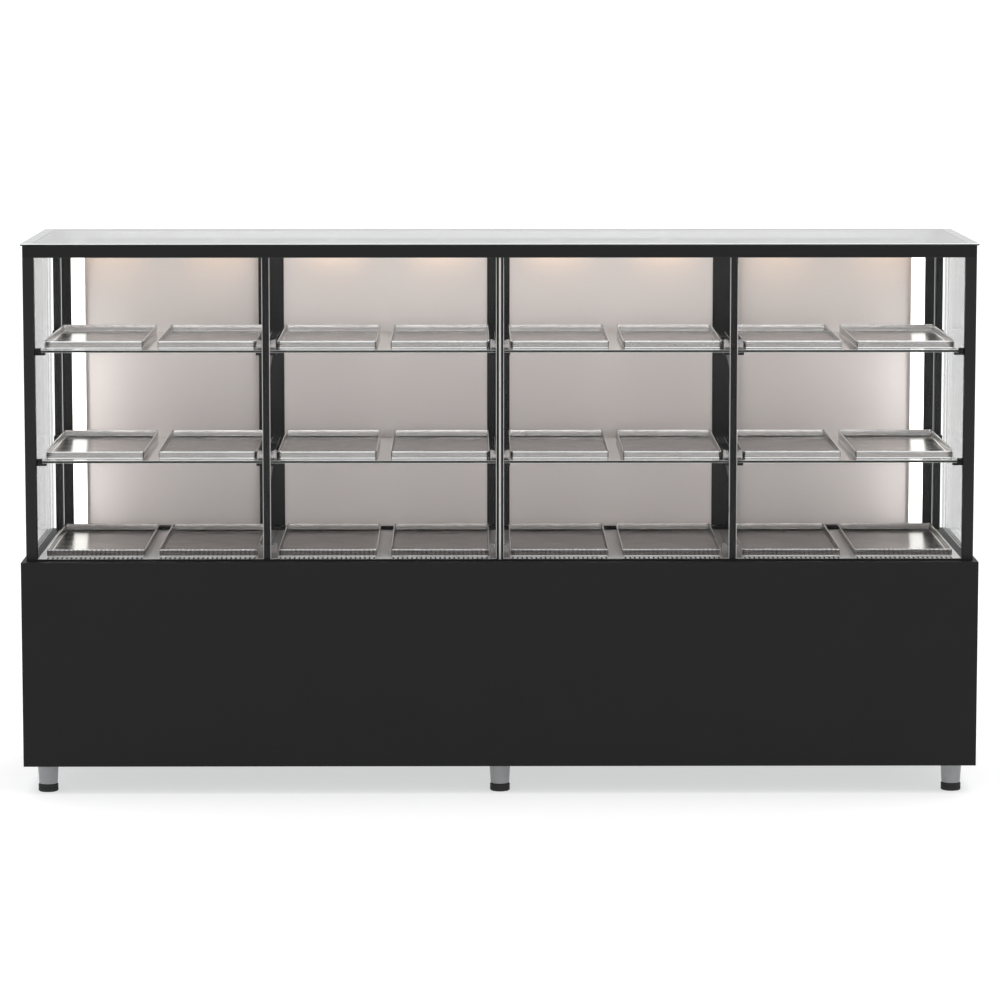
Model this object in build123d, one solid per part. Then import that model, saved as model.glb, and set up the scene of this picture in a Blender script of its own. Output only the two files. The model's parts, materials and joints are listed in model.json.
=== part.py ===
from build123d import *
import os

# Glazed bakery display case on a black plinth, in millimetres.
# The origin is on the floor under the middle. The front looks along -Y, +Z is up.

# Plinth
plinth_width = 2200
plinth_depth = 600
plinth_height = 475
floor_clearance = 65
plinth_sheet = 2
plinth_flange = 20
rear_recess = 10
rear_panel_gap = 1

# Plinth frame of square tube
frame_tube = 30
frame_wall = 2
frame_side_gap = 3

# Feet
foot_side_inset = 52
foot_depth_inset = 50
foot_top_diameter = 49
foot_bottom_diameter = 43
foot_pad_diameter = 46
foot_pad_height = 18
foot_pad_chamfer = 2
foot_stem_diameter = 12
foot_stem_length = 28
stem_clearance = 0.3

# Glazed case, set in from the edges of the plinth
case_height = 731
side_ledge = 10
front_ledge = 28
rear_ledge = 2
post_size = 25
rail_height = 26
sill_height = 3
sill_base = 1
sill_lip = 2
groove_depth = 8
glass_thickness = 6
glass_clearance = 0.3
glass_setback = 3
joint_width = 3
top_glass_thickness = 5
top_glass_overhang = 5
rear_glass_setback = 2
mullion_width = 15
mullion_depth = 20
rear_post_width = 16
rear_post_depth = 36
rear_post_inset = 17
bays = 4

# Deck sheets with a strip of air slots along the front glass
deck_sheet = 1.5
deck_gap = 0.5
slot_width = 4
slot_length = 26
slot_pitch = 10.8
slot_edge = 3
air_opening_margin = 34
air_opening_front_gap = 17

# Glass shelves and what carries them
shelf_thickness = 6
upper_shelf_height = 486
lower_shelf_height = 231
shelf_front_gap = 5
shelf_rear_gap = 18
shelf_end_gap = 13
shelf_mullion_gap = 1.5
clip_reach = 10
clip_depth = 12
clip_height = 6
clip_stop = 10
bracket_length = 400
bracket_flange_width = 30
bracket_flange = 3
bracket_cheek = 2
bracket_drop = 36
bracket_taper = 200
bracket_tip = 3
saddle_width = 47
saddle_length = 22
saddle_height = 6

# Trays
tray_height = 18
tray_sheet = 1.2
tray_gap = 31
tray_side_margin = 16
tray_front_margin = 32
tray_rear_margin = 2
tray_corner = 6
tray_rim = 2.5
trays_per_bay = 2

# Sliding doors on two tracks
door_thickness = 6
door_clearance = 0.5
stile_thickness = 12
stile_grip = 10
end_stile_width = 25
inner_meeting_stile_width = 61
outer_meeting_stile_width = 31
meeting_shift = 19.5
jamb_clearance = 2
stop_width = 3
track_front_wall = 8.5
track_spacing = 18
track_depth = 40
lower_track_height = 12
lower_groove_depth = 6
upper_groove_depth = 16
upper_engagement = 10
lower_running_gap = 0.3
stile_end_gap = 1
pull_width = 11
pull_length = 80
pull_depth = 3
pull_height = 380

# Lamps
lamp_bar_depth = 30
lamp_bar_height = 18
lamp_bar_end_gap = 25
lamp_diameter = 24
lamp_height = 8
corner_lamp_width = 34
corner_lamp_depth = 10
corner_lamp_end_gap = 28

# Rear power panel with its rocker switch and mains inlet
power_panel_width = 120
power_panel_height = 60
power_panel_side_lap = 10
power_panel_edge_lap = 5
power_panel_inset = 200
power_panel_z = 330
rocker_width = 21
rocker_height = 26
rocker_depth = 12
rocker_bulge = 2
rocker_gap = 1.5
rocker_throw = 16
rocker_x = -32
pin_diameter = 3
pin_clearance = 0.05
switch_wall = 2
switch_depth = 20
inlet_x = 28
inlet_width = 27
inlet_height = 19
inlet_depth = 16
inlet_wall = 3
inlet_pin_width = 2
inlet_pin_height = 6
inlet_pin_length = 13
inlet_pin_spread = 7
inlet_pin_rise = 2
driver_length = 180
driver_depth = 60
driver_height = 40
driver_corner = 4

# Louvres and screws of the rear panels
louvre_width = 90
louvre_height = 10
louvre_reach = 5
louvre_sheet = 1.2
louvre_pitch = 24
louvre_rows = 7
louvre_columns = 2
louvre_column_pitch = 440
screw_head_diameter = 9
screw_head_height = 2.2
screw_shank_diameter = 4
screw_hole_clearance = 0.4
screw_length = 10
screw_inset = 10

# Places worked out from the sizes above
plinth_top = floor_clearance + plinth_height
plinth_half = plinth_width / 2
plinth_front = -plinth_depth / 2
plinth_rear = plinth_depth / 2
pan_top = floor_clearance + plinth_sheet
plate_bottom = plinth_top - plinth_sheet
panel_inner_y = plinth_rear - rear_recess
panel_outer_y = panel_inner_y + plinth_sheet
inside_half = plinth_half - plinth_sheet
screw_top_z = plate_bottom - screw_inset
screw_bottom_z = pan_top + screw_inset

power_panel_x = plinth_half - power_panel_inset
power_panel_left_x = power_panel_x - power_panel_width / 2

case_width = plinth_width - 2 * side_ledge
case_half = case_width / 2
front_y = plinth_front + front_ledge
rear_y = plinth_rear - rear_ledge
case_top = plinth_top + case_height
rail_top = case_top - top_glass_thickness
rail_bottom = rail_top - rail_height
post_inner_x = case_half - post_size
post_rear_y = front_y + post_size
sill_top = plinth_top + sill_height
glass_bottom = plinth_top + sill_base
glass_top = rail_bottom + groove_depth - glass_clearance
front_glass_y = front_y + glass_setback
front_glass_inner_y = front_glass_y + glass_thickness
side_glass_x = case_half - glass_setback - glass_thickness
mullion_front_y = front_glass_inner_y + glass_clearance
mullion_rear_y = mullion_front_y + mullion_depth
sill_rear_y = mullion_front_y + sill_lip
bay_width = (case_width - 2 * post_size - (bays - 1) * mullion_width) / bays
bay_pitch = bay_width + mullion_width
bay_centres = [(bay - (bays - 1) / 2) * bay_pitch for bay in range(bays)]
mullion_places = [(line - bays / 2) * bay_pitch for line in range(1, bays)]

rear_post_outer_x = case_half - rear_post_inset
rear_post_inner_x = rear_post_outer_x - rear_post_width
rear_post_front_y = rear_y - rear_post_depth
track_front_y = rear_y - track_depth
groove_width = door_thickness + 2 * door_clearance
front_track_y = track_front_y + track_front_wall + groove_width / 2
rear_track_y = front_track_y + track_spacing
track_top = plinth_top + lower_track_height
door_bottom = track_top - lower_groove_depth + lower_running_gap
door_top = rail_bottom + upper_engagement
stile_bottom = track_top + stile_end_gap
stile_top = rail_bottom - stile_end_gap
door_jamb_x = rear_post_inner_x - jamb_clearance
door_centre_x = stop_width / 2 + door_clearance
meeting_x = (door_jamb_x + door_centre_x) / 2 + meeting_shift
meeting_reach = inner_meeting_stile_width / 2
door_spans = (
    (-door_jamb_x, -meeting_x + meeting_reach),
    (-meeting_x - meeting_reach, -door_centre_x),
    (door_centre_x, meeting_x + meeting_reach),
    (meeting_x - meeting_reach, door_jamb_x),
)

deck_top = sill_top
shelf_front_y = front_glass_inner_y + shelf_front_gap
shelf_rear_y = rear_post_front_y - shelf_rear_gap
shelf_end_x = post_inner_x - shelf_end_gap
upper_shelf_top = plinth_top + upper_shelf_height
lower_shelf_top = plinth_top + lower_shelf_height
shelf_tops = {"upper": upper_shelf_top, "middle": lower_shelf_top}
tray_width = (bay_width - 2 * tray_side_margin - (trays_per_bay - 1) * tray_gap) / trays_per_bay
tray_front_y = shelf_front_y + tray_front_margin
tray_rear_y = shelf_rear_y - tray_rear_margin
tray_floors = {"upper": upper_shelf_top, "middle": lower_shelf_top, "lower": deck_top}

lamp_bar_rear_y = track_front_y
lamp_bar_front_y = lamp_bar_rear_y - lamp_bar_depth
lamp_bar_bottom = rail_top - lamp_bar_height
lamp_y = (lamp_bar_front_y + lamp_bar_rear_y) / 2

os.makedirs("parts", exist_ok=True)


def block(x_from, x_to, y_from, y_to, z_from, z_to):
    """A box between two corners."""
    size = Box(x_to - x_from, y_to - y_from, z_to - z_from)
    return Pos((x_from + x_to) / 2, (y_from + y_to) / 2, (z_from + z_to) / 2) * size


def rod(x, y, z_from, z_to, diameter):
    """An upright round rod."""
    return Pos(x, y, (z_from + z_to) / 2) * Cylinder(diameter / 2, z_to - z_from)


def both_sides(solid):
    """A solid and its twin across the middle plane."""
    return [solid, mirror(solid, about=Plane.YZ)]


def save(name, solids):
    """Writes one sub-part made of one or more separate solids."""
    pieces = [piece for solid in solids for piece in solid.solids()]
    export_step(Compound(pieces), f"parts/{name}.step")


def tube(x_from, x_to, y_from, y_to, z_from, z_to):
    """A square tube that is open at both ends of its longest side."""
    spans = [x_to - x_from, y_to - y_from, z_to - z_from]
    along = spans.index(max(spans))
    wall_x, wall_y, wall_z = [0 if axis == along else frame_wall for axis in range(3)]
    inner = block(
        x_from + wall_x,
        x_to - wall_x,
        y_from + wall_y,
        y_to - wall_y,
        z_from + wall_z,
        z_to - wall_z,
    )
    return block(x_from, x_to, y_from, y_to, z_from, z_to) - inner


def foot_places():
    """Centres of the six feet, in two rows."""
    columns = (-plinth_half + foot_side_inset, 0, plinth_half - foot_side_inset)
    rows = (plinth_front + foot_depth_inset, plinth_rear - foot_depth_inset)
    return [(x, y) for y in rows for x in columns]


def tray_places():
    """Centres of the tray columns across the case, from left to right."""
    pitch = tray_width + tray_gap
    first = -(trays_per_bay - 1) / 2
    return [centre + (first + number) * pitch for centre in bay_centres for number in range(trays_per_bay)]


def base_frame():
    """Square-tube frame inside the plinth: two long rings joined by uprights and cross tubes."""
    half = frame_tube / 2
    reach = inside_half - plinth_sheet - frame_side_gap
    levels = ((pan_top, pan_top + frame_tube), (plate_bottom - frame_tube, plate_bottom))
    rows = sorted({y for x, y in foot_places()})
    columns = sorted({x for x, y in foot_places()})
    bars = []
    for low, high in levels:
        bars += [tube(-reach, reach, y - half, y + half, low, high) for y in rows]
        bars += [tube(x - half, x + half, rows[0] + half, rows[1] - half, low, high) for x in columns]
    for x, y in foot_places():
        bars.append(tube(x - half, x + half, y - half, y + half, levels[0][1], levels[1][0]))
    stems = [rod(x, y, pan_top, pan_top + frame_wall, stem_hole()) for x, y in foot_places()]
    return [bar - stems for bar in bars]


def stem_hole():
    """Diameter of the holes that the foot stems pass through."""
    return foot_stem_diameter + 2 * stem_clearance


def plinth_cover():
    """One folded sheet: plain front, top plate with air openings and turned-down rear edge."""
    top = block(-plinth_half, plinth_half, plinth_front, plinth_rear, plate_bottom, plinth_top)
    front = block(
        -plinth_half, plinth_half, plinth_front, plinth_front + plinth_sheet, floor_clearance, plate_bottom
    )
    rear = block(
        -inside_half,
        inside_half,
        panel_inner_y - plinth_sheet,
        panel_inner_y,
        plate_bottom - plinth_flange,
        plate_bottom,
    )
    reach = bay_width / 2 - air_opening_margin
    openings = [
        block(
            centre - reach,
            centre + reach,
            post_rear_y + air_opening_front_gap,
            track_front_y - air_opening_margin,
            plate_bottom,
            plinth_top,
        )
        for centre in bay_centres
    ]
    return [top + front + rear - openings - screw_holes(screw_top_z)]


def plinth_side_panels():
    """Flat side sheets between the front sheet and the rear edge."""
    panel = block(
        inside_half, plinth_half, plinth_front + plinth_sheet, plinth_rear, floor_clearance, plate_bottom
    )
    return both_sides(panel)


def plinth_floor_pan():
    """Shallow tray that closes the plinth underneath, holed for the foot stems."""
    front = plinth_front + plinth_sheet
    pan = block(-inside_half, inside_half, front, panel_inner_y, floor_clearance, pan_top + plinth_flange)
    pan -= block(
        -inside_half + plinth_sheet,
        inside_half - plinth_sheet,
        front + plinth_sheet,
        panel_inner_y - plinth_sheet,
        pan_top,
        pan_top + plinth_flange,
    )
    stems = [rod(x, y, floor_clearance, pan_top, stem_hole()) for x, y in foot_places()]
    return [pan - stems - screw_holes(screw_bottom_z)]


def louvre(x, z):
    """A pressed louvre hood that is open below, and the slot behind it."""
    inner_height = louvre_height - 2 * louvre_sheet
    inner_reach = louvre_reach - louvre_sheet
    inner_half = louvre_width / 2 - louvre_sheet
    hood = Plane.YZ * Polygon(
        (0, louvre_height), (louvre_reach, louvre_sheet), (louvre_reach, 0), (0, 0), align=None
    )
    inner = Plane.YZ * Polygon(
        (0, inner_height), (inner_reach, louvre_sheet), (inner_reach, 0), (0, 0), align=None
    )
    shell = extrude(hood, louvre_width / 2, both=True) - extrude(inner, inner_half, both=True)
    slot = block(x - inner_half, x + inner_half, panel_inner_y, panel_outer_y, z, z + inner_height)
    return Pos(x, panel_outer_y, z) * shell, slot


def screw_columns():
    """X places of the screws that hold the rear panels, the same in the top and the bottom row."""
    inner = screw_inset + rear_panel_gap
    outer = inside_half - screw_inset
    return (-outer, -inner, inner, outer)


def screw_holes(z):
    """One row of holes along Y for the panel screws, through every sheet at the rear."""
    diameter = screw_shank_diameter + 2 * screw_hole_clearance
    depth = 2 * (plinth_sheet + rear_recess)
    hole = Rot(90, 0, 0) * Cylinder(diameter / 2, depth)
    return [Pos(x, panel_inner_y, z) * hole for x in screw_columns()]


def power_window():
    """Opening in the rear panel behind the power panel."""
    half_width = power_panel_width / 2 - power_panel_side_lap
    half_height = power_panel_height / 2 - power_panel_edge_lap
    return block(
        power_panel_x - half_width,
        power_panel_x + half_width,
        panel_inner_y,
        panel_outer_y,
        power_panel_z - half_height,
        power_panel_z + half_height,
    )


def plinth_rear_panels():
    """Two screwed service panels with louvres. The right-hand one carries the power panel."""
    low = pan_top
    high = plate_bottom - rear_panel_gap
    panel = block(rear_panel_gap, inside_half, panel_inner_y, panel_outer_y, low, high)
    middle_x = (rear_panel_gap + power_panel_left_x) / 2
    middle_z = (low + high) / 2
    hoods = []
    for column in range(louvre_columns):
        x = middle_x + (column - (louvre_columns - 1) / 2) * louvre_column_pitch
        for row in range(louvre_rows):
            hood, slot = louvre(x, middle_z + (row - louvre_rows / 2) * louvre_pitch)
            hoods.append(hood)
            panel -= slot
    holes = screw_holes(screw_top_z) + screw_holes(screw_bottom_z)
    right, left = both_sides(panel + hoods)
    return [right - holes - power_window(), left - holes]


def panel_screws():
    """Pan-head screws of the rear panels, seated on the sheet and pointing into the plinth."""
    head = Pos(0, 0, -screw_head_height / 2) * Cylinder(screw_head_diameter / 2, screw_head_height)
    shank = Pos(0, 0, screw_length / 2) * Cylinder(screw_shank_diameter / 2, screw_length)
    screw = Rot(90, 0, 0) * (head + shank)
    heights = (screw_top_z, screw_bottom_z)
    return [Pos(x, panel_outer_y, z) * screw for z in heights for x in screw_columns()]


def foot_cups():
    """Tapered foot cups with their threaded stems."""
    height = floor_clearance - foot_pad_height
    cone = Cone(foot_bottom_diameter / 2, foot_top_diameter / 2, height)
    cup = Pos(0, 0, foot_pad_height + height / 2) * cone
    cup += rod(0, 0, floor_clearance, floor_clearance + foot_stem_length, foot_stem_diameter)
    return [Pos(x, y, 0) * cup for x, y in foot_places()]


def foot_pads():
    """Round rubber pads under the feet, chamfered at both rims."""
    pad = rod(0, 0, 0, foot_pad_height, foot_pad_diameter)
    pad = chamfer(pad.edges().filter_by(GeomType.CIRCLE), foot_pad_chamfer)
    return [Pos(x, y, 0) * pad for x, y in foot_places()]


def deck_panels():
    """Deck sheets with turned-down edges, one per bay, with air slots between the trays and the glass."""
    front = sill_rear_y + deck_gap
    rear = track_front_y - deck_gap
    slots_across = int((tray_width - 2 * slot_edge) / slot_pitch) + 1
    first = -(slots_across - 1) * slot_pitch / 2
    slot = Rot(0, 0, 90) * extrude(SlotOverall(slot_length, slot_width), deck_top - plinth_top)
    panels = []
    for centre in bay_centres:
        left = max(centre - bay_pitch / 2, -post_inner_x) + deck_gap
        right = min(centre + bay_pitch / 2, post_inner_x) - deck_gap
        sheet = block(left, right, front, rear, plinth_top, deck_top)
        sheet -= block(
            left + deck_sheet,
            right - deck_sheet,
            front + deck_sheet,
            rear - deck_sheet,
            plinth_top,
            deck_top - deck_sheet,
        )
        slots = [
            Pos(x + first + number * slot_pitch, front + slot_edge + slot_length / 2, plinth_top) * slot
            for x in tray_places()
            if left < x < right
            for number in range(slots_across)
        ]
        panels.append(sheet - slots)
    return panels


def glass_groove_x(x_from, x_to, z_from, z_to):
    """Groove along X that takes an edge of the front glass."""
    return block(
        x_from, x_to, front_glass_y - glass_clearance, front_glass_inner_y + glass_clearance, z_from, z_to
    )


def glass_groove_y(y_from, y_to, z_from, z_to):
    """Groove along Y that takes an edge of the right-hand side glass."""
    inner = side_glass_x - glass_clearance
    outer = side_glass_x + glass_thickness + glass_clearance
    return block(inner, outer, y_from, y_to, z_from, z_to)


def corner_posts():
    """Grooved front corner posts and plain rear corner posts."""
    post = block(post_inner_x, case_half, front_y, post_rear_y, plinth_top, rail_bottom)
    post -= glass_groove_x(post_inner_x, post_inner_x + groove_depth, glass_bottom, rail_bottom)
    post -= glass_groove_y(post_rear_y - groove_depth, post_rear_y, glass_bottom, rail_bottom)
    rear_post = block(
        rear_post_inner_x, rear_post_outer_x, rear_post_front_y, rear_y, plinth_top, rail_bottom
    )
    return both_sides(post) + both_sides(rear_post)


def front_mullions():
    """Slim uprights behind the front glass at the bay lines."""
    half = mullion_width / 2
    return [
        block(x - half, x + half, mullion_front_y, mullion_rear_y, sill_top, rail_bottom)
        for x in mullion_places
    ]


def glass_sills():
    """Low grooved bars on the plinth that the front and side glass stand in."""
    front = block(-post_inner_x, post_inner_x, front_y, sill_rear_y, plinth_top, sill_top)
    front -= glass_groove_x(-post_inner_x, post_inner_x, glass_bottom, sill_top)
    side = block(post_inner_x, case_half, post_rear_y, rear_y, plinth_top, sill_top)
    side -= glass_groove_y(post_rear_y, rear_y, glass_bottom, sill_top)
    side -= block(
        post_inner_x, rear_post_outer_x, rear_post_front_y, rear_y, plinth_top, sill_top
    )
    return [front] + both_sides(side)


def top_rails():
    """Front and side rails of the case top, grooved underneath for the glass."""
    front = block(-case_half, case_half, front_y, post_rear_y, rail_bottom, rail_top)
    groove_reach = post_inner_x + groove_depth
    groove_top = rail_bottom + groove_depth
    front -= glass_groove_x(-groove_reach, groove_reach, rail_bottom, groove_top)
    front -= both_sides(glass_groove_y(post_rear_y - groove_depth, post_rear_y, rail_bottom, groove_top))
    side = block(post_inner_x, case_half, post_rear_y, rear_y, rail_bottom, rail_top)
    side -= glass_groove_y(post_rear_y, rear_y, rail_bottom, groove_top)
    return [front] + both_sides(side)


def door_grooves(x_reach, z_from, z_to):
    """Two grooves along X for the doors, parted by a stop in the middle."""
    grooves = []
    for y in (front_track_y, rear_track_y):
        groove = block(
            stop_width / 2, x_reach, y - groove_width / 2, y + groove_width / 2, z_from, z_to
        )
        grooves += both_sides(groove)
    return grooves


def door_tracks():
    """Rear top rail with two deep grooves for the doors, and the rear sill that they run in."""
    rail = block(-post_inner_x, post_inner_x, track_front_y, rear_y, rail_bottom, rail_top)
    rail -= door_grooves(post_inner_x, rail_bottom, rail_bottom + upper_groove_depth)
    sill = block(-rear_post_inner_x, rear_post_inner_x, track_front_y, rear_y, plinth_top, track_top)
    sill -= door_grooves(rear_post_inner_x, track_top - lower_groove_depth, track_top)
    return [rail, sill]


def front_glass():
    """Two front panes that butt at the middle mullion."""
    reach = post_inner_x + groove_depth - glass_clearance
    pane = block(
        joint_width / 2, reach, front_glass_y, front_glass_inner_y, glass_bottom, glass_top
    )
    return both_sides(pane)


def joint_seal():
    """Clear silicone bead between the two front panes."""
    half = joint_width / 2
    return [block(-half, half, front_glass_y, front_glass_inner_y, sill_top, rail_bottom)]


def side_glass():
    """One pane at each side, from the front post to the rear."""
    pane = block(
        side_glass_x,
        side_glass_x + glass_thickness,
        post_rear_y - groove_depth + glass_clearance,
        rear_y - rear_glass_setback,
        glass_bottom,
        glass_top,
    )
    return both_sides(pane)


def top_glass():
    """Top pane lying on the rails with a small overhang."""
    reach = case_half + top_glass_overhang
    return [block(-reach, reach, front_y - top_glass_overhang, rear_y, rail_top, case_top)]


def glass_shelves(top):
    """Glass shelves of one level, one per bay."""
    reach = bay_width / 2 - shelf_mullion_gap
    under = top - shelf_thickness
    shelves = []
    for centre in bay_centres:
        left = max(centre - reach, -shelf_end_x)
        right = min(centre + reach, shelf_end_x)
        shelves.append(block(left, right, shelf_front_y, shelf_rear_y, under, top))
    return shelves


def shelf_bracket(x, under):
    """Folded bracket on a mullion: a front saddle, a long flange and two tapered cheeks."""
    half = mullion_width / 2
    wide = saddle_width / 2
    narrow = bracket_flange_width / 2
    tip_y = mullion_rear_y + bracket_length
    saddle_rear_y = shelf_front_y + saddle_length
    saddle_under = under - saddle_height
    cheek_low = under - bracket_drop
    cheek_high = under - bracket_flange - bracket_tip
    saddle = block(x - wide, x + wide, shelf_front_y, saddle_rear_y, saddle_under, under)
    flange = block(x - narrow, x + narrow, shelf_front_y, tip_y, under - bracket_flange, under)
    outline = Plane.YZ * Polygon(
        (shelf_front_y, under),
        (shelf_front_y, cheek_low),
        (mullion_rear_y, cheek_low),
        (mullion_rear_y + bracket_taper, cheek_high),
        (tip_y, cheek_high),
        (tip_y, under),
        align=None,
    )
    left_cheek = Pos(x - half - bracket_cheek, 0, 0) * extrude(outline, bracket_cheek)
    right_cheek = Pos(x + half, 0, 0) * extrude(outline, bracket_cheek)
    upright = block(x - half, x + half, mullion_front_y, mullion_rear_y, saddle_under, under)
    return saddle + flange + left_cheek + right_cheek - upright


def shelf_brackets():
    """Brackets at every mullion under both glass levels."""
    return [
        shelf_bracket(x, top - shelf_thickness) for top in shelf_tops.values() for x in mullion_places
    ]


def shelf_clips():
    """Small clips on the corner posts that hold the outer shelf ends."""
    spans = (
        (post_inner_x, shelf_front_y, shelf_front_y + clip_depth),
        (rear_post_outer_x, shelf_rear_y - clip_depth, rear_post_front_y),
    )
    stop_x = shelf_end_x + glass_clearance
    ledge_x = shelf_end_x - clip_reach
    clips = []
    for top in shelf_tops.values():
        under = top - shelf_thickness
        for outer_x, front, rear in spans:
            ledge = block(ledge_x, outer_x, front, rear, under - clip_height, under)
            stop = block(stop_x, outer_x, front, rear, under, under + clip_stop)
            clips += both_sides(ledge + stop)
    return clips


def tray():
    """A shallow sheet tray with rounded corners and a thin turned-out rim, standing at the origin."""
    length = tray_rear_y - tray_front_y
    across = tray_width - 2 * tray_rim
    along = length - 2 * tray_rim
    outside = RectangleRounded(across, along, tray_corner)
    inside = RectangleRounded(across - 2 * tray_sheet, along - 2 * tray_sheet, tray_corner - tray_sheet)
    rim = RectangleRounded(tray_width, length, tray_corner + tray_rim)
    body = extrude(outside, tray_height) + Pos(0, 0, tray_height - tray_sheet) * extrude(rim, tray_sheet)
    return body - Pos(0, 0, tray_sheet) * extrude(inside, tray_height)


def is_outer(number):
    """Whether a door stands at a side of the case."""
    return number in (0, len(door_spans) - 1)


def door_track(number):
    """Middle of the track that a door runs in: the outer doors run behind the inner ones."""
    return rear_track_y if is_outer(number) else front_track_y


def end_on_left(number):
    """Whether a door's end stile is its left one. The other stile meets the next door."""
    return number in (0, 2)


def stile_spans(number):
    """X spans of a door's left and right stiles."""
    left, right = door_spans[number]
    meeting_width = outer_meeting_stile_width if is_outer(number) else inner_meeting_stile_width
    if end_on_left(number):
        return (left, left + end_stile_width), (right - meeting_width, right)
    return (left, left + meeting_width), (right - end_stile_width, right)


def door_panel(number):
    """Opal door pane held in the stiles at both edges."""
    left_stile, right_stile = stile_spans(number)
    left = left_stile[1] - stile_grip
    right = right_stile[0] + stile_grip
    front = door_track(number) - door_thickness / 2
    return block(left, right, front, front + door_thickness, door_bottom, door_top)


def finger_pull(number):
    """Shallow upright recess in the rear face of a door's end stile."""
    left, right = door_spans[number]
    inset = (end_stile_width - stile_grip) / 2
    x = left + inset if end_on_left(number) else right - inset
    rear = door_track(number) + stile_thickness / 2
    middle = plinth_top + pull_height
    return block(
        x - pull_width / 2,
        x + pull_width / 2,
        rear - pull_depth,
        rear,
        middle - pull_length / 2,
        middle + pull_length / 2,
    )


def door_stiles(number):
    """Both stiles of a door, grooved for its pane."""
    front = door_track(number) - stile_thickness / 2
    stiles = [
        block(left, right, front, front + stile_thickness, stile_bottom, stile_top)
        for left, right in stile_spans(number)
    ]
    return [stile - door_panel(number) - finger_pull(number) for stile in stiles]


def lamp_bar():
    """Aluminium bar along the rear top rail that carries the downlights."""
    reach = post_inner_x - lamp_bar_end_gap
    return [block(-reach, reach, lamp_bar_front_y, lamp_bar_rear_y, lamp_bar_bottom, rail_top)]


def warm_lamps():
    """One round downlight over each tray column."""
    return [
        rod(x, lamp_y, lamp_bar_bottom - lamp_height, lamp_bar_bottom, lamp_diameter)
        for x in tray_places()
    ]


def corner_lamps():
    """Upright opal light strips in front of the rear corners, from the deck to the lamp bar."""
    outer = rear_post_inner_x - corner_lamp_end_gap
    front = track_front_y - corner_lamp_depth
    rear = track_front_y - deck_gap
    return both_sides(block(outer - corner_lamp_width, outer, front, rear, deck_top, lamp_bar_bottom))


def rocker_solid():
    """Rocker with two shallow facets and its pin, standing level at the pivot."""
    half_height = rocker_height / 2
    half_depth = rocker_depth / 2
    outline = Plane.YZ * Polygon(
        (-half_depth, -half_height),
        (half_depth, -half_height),
        (half_depth - rocker_bulge, 0),
        (half_depth, half_height),
        (-half_depth, half_height),
        align=None,
    )
    body = extrude(outline, rocker_width / 2, both=True)
    pin_length = rocker_width + 2 * rocker_gap + switch_wall
    return body + Rot(0, 90, 0) * Cylinder(pin_diameter / 2, pin_length)


def pivot():
    """The rocker's pivot point."""
    return Pos(power_panel_x + rocker_x, panel_outer_y - plinth_sheet, power_panel_z)


def light_switch():
    """Rocker in its off position."""
    return [pivot() * Rot(-rocker_throw / 2, 0, 0) * rocker_solid()]


def panel_well(offset, width, height, depth, wall):
    """A housing behind the power panel and the well that opens through the panel's plate."""
    x = power_panel_x + offset
    bottom = panel_outer_y - depth
    low = power_panel_z - height / 2
    high = power_panel_z + height / 2
    left = x - width / 2
    right = x + width / 2
    housing = block(left - wall, right + wall, bottom - wall, panel_outer_y, low - wall, high + wall)
    well = block(left, right, bottom, panel_outer_y + plinth_sheet, low, high)
    return housing, well


def power_panel():
    """Plate with the switch housing and the mains inlet housing behind it."""
    plate = block(
        power_panel_left_x,
        power_panel_left_x + power_panel_width,
        panel_outer_y,
        panel_outer_y + plinth_sheet,
        power_panel_z - power_panel_height / 2,
        power_panel_z + power_panel_height / 2,
    )
    well_width = rocker_width + 2 * rocker_gap
    well_height = rocker_height + 2 * rocker_gap
    switch, well = panel_well(rocker_x, well_width, well_height, switch_depth - switch_wall, switch_wall)
    inlet, socket = panel_well(inlet_x, inlet_width, inlet_height, inlet_depth, inlet_wall)
    pin_hole = Rot(0, 90, 0) * Cylinder(pin_diameter / 2 + pin_clearance, well_width + 2 * switch_wall)
    return [plate + switch + inlet - well - socket - pivot() * pin_hole]


def inlet_pins():
    """The three contact pins of the mains inlet, standing on the back of its socket."""
    middle_y = panel_outer_y - inlet_depth + inlet_pin_length / 2
    pins = []
    for step, rise in ((-1, -1), (0, 1), (1, -1)):
        x = power_panel_x + inlet_x + step * inlet_pin_spread
        z = power_panel_z + rise * inlet_pin_rise
        pins.append(Pos(x, middle_y, z) * Box(inlet_pin_width, inlet_pin_length, inlet_pin_height))
    return pins


def lamp_driver():
    """Sealed power supply of the lamps, standing on the floor pan in line with the power panel."""
    body = Box(driver_length, driver_depth, driver_height)
    body = fillet(body.edges().filter_by(Axis.Z), driver_corner)
    return [Pos(power_panel_x, 0, pan_top + driver_height / 2) * body]


save("base_frame", base_frame())
save("plinth_cover", plinth_cover())
save("plinth_side_panels", plinth_side_panels())
save("plinth_rear_panels", plinth_rear_panels())
save("plinth_floor_pan", plinth_floor_pan())
save("panel_screws", panel_screws())
save("foot_cups", foot_cups())
save("foot_pads", foot_pads())
save("deck_panels", deck_panels())
save("corner_posts", corner_posts())
save("front_mullions", front_mullions())
save("glass_sills", glass_sills())
save("top_rails", top_rails())
save("door_tracks", door_tracks())
save("front_glass", front_glass())
save("joint_seal", joint_seal())
save("side_glass", side_glass())
save("top_glass", top_glass())
save("glass_shelves", glass_shelves(upper_shelf_top) + glass_shelves(lower_shelf_top))
save("shelf_brackets", shelf_brackets())
save("shelf_clips", shelf_clips())
save("lamp_bar", lamp_bar())
save("warm_lamps", warm_lamps())
save("corner_lamps", corner_lamps())
save("power_panel", power_panel())
save("light_switch", light_switch())
save("inlet_pins", inlet_pins())
save("lamp_driver", lamp_driver())
for number in range(len(door_spans)):
    save(f"door_{number + 1}_panel", [door_panel(number)])
    save(f"door_{number + 1}_stiles", door_stiles(number))
one_tray = tray()
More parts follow.
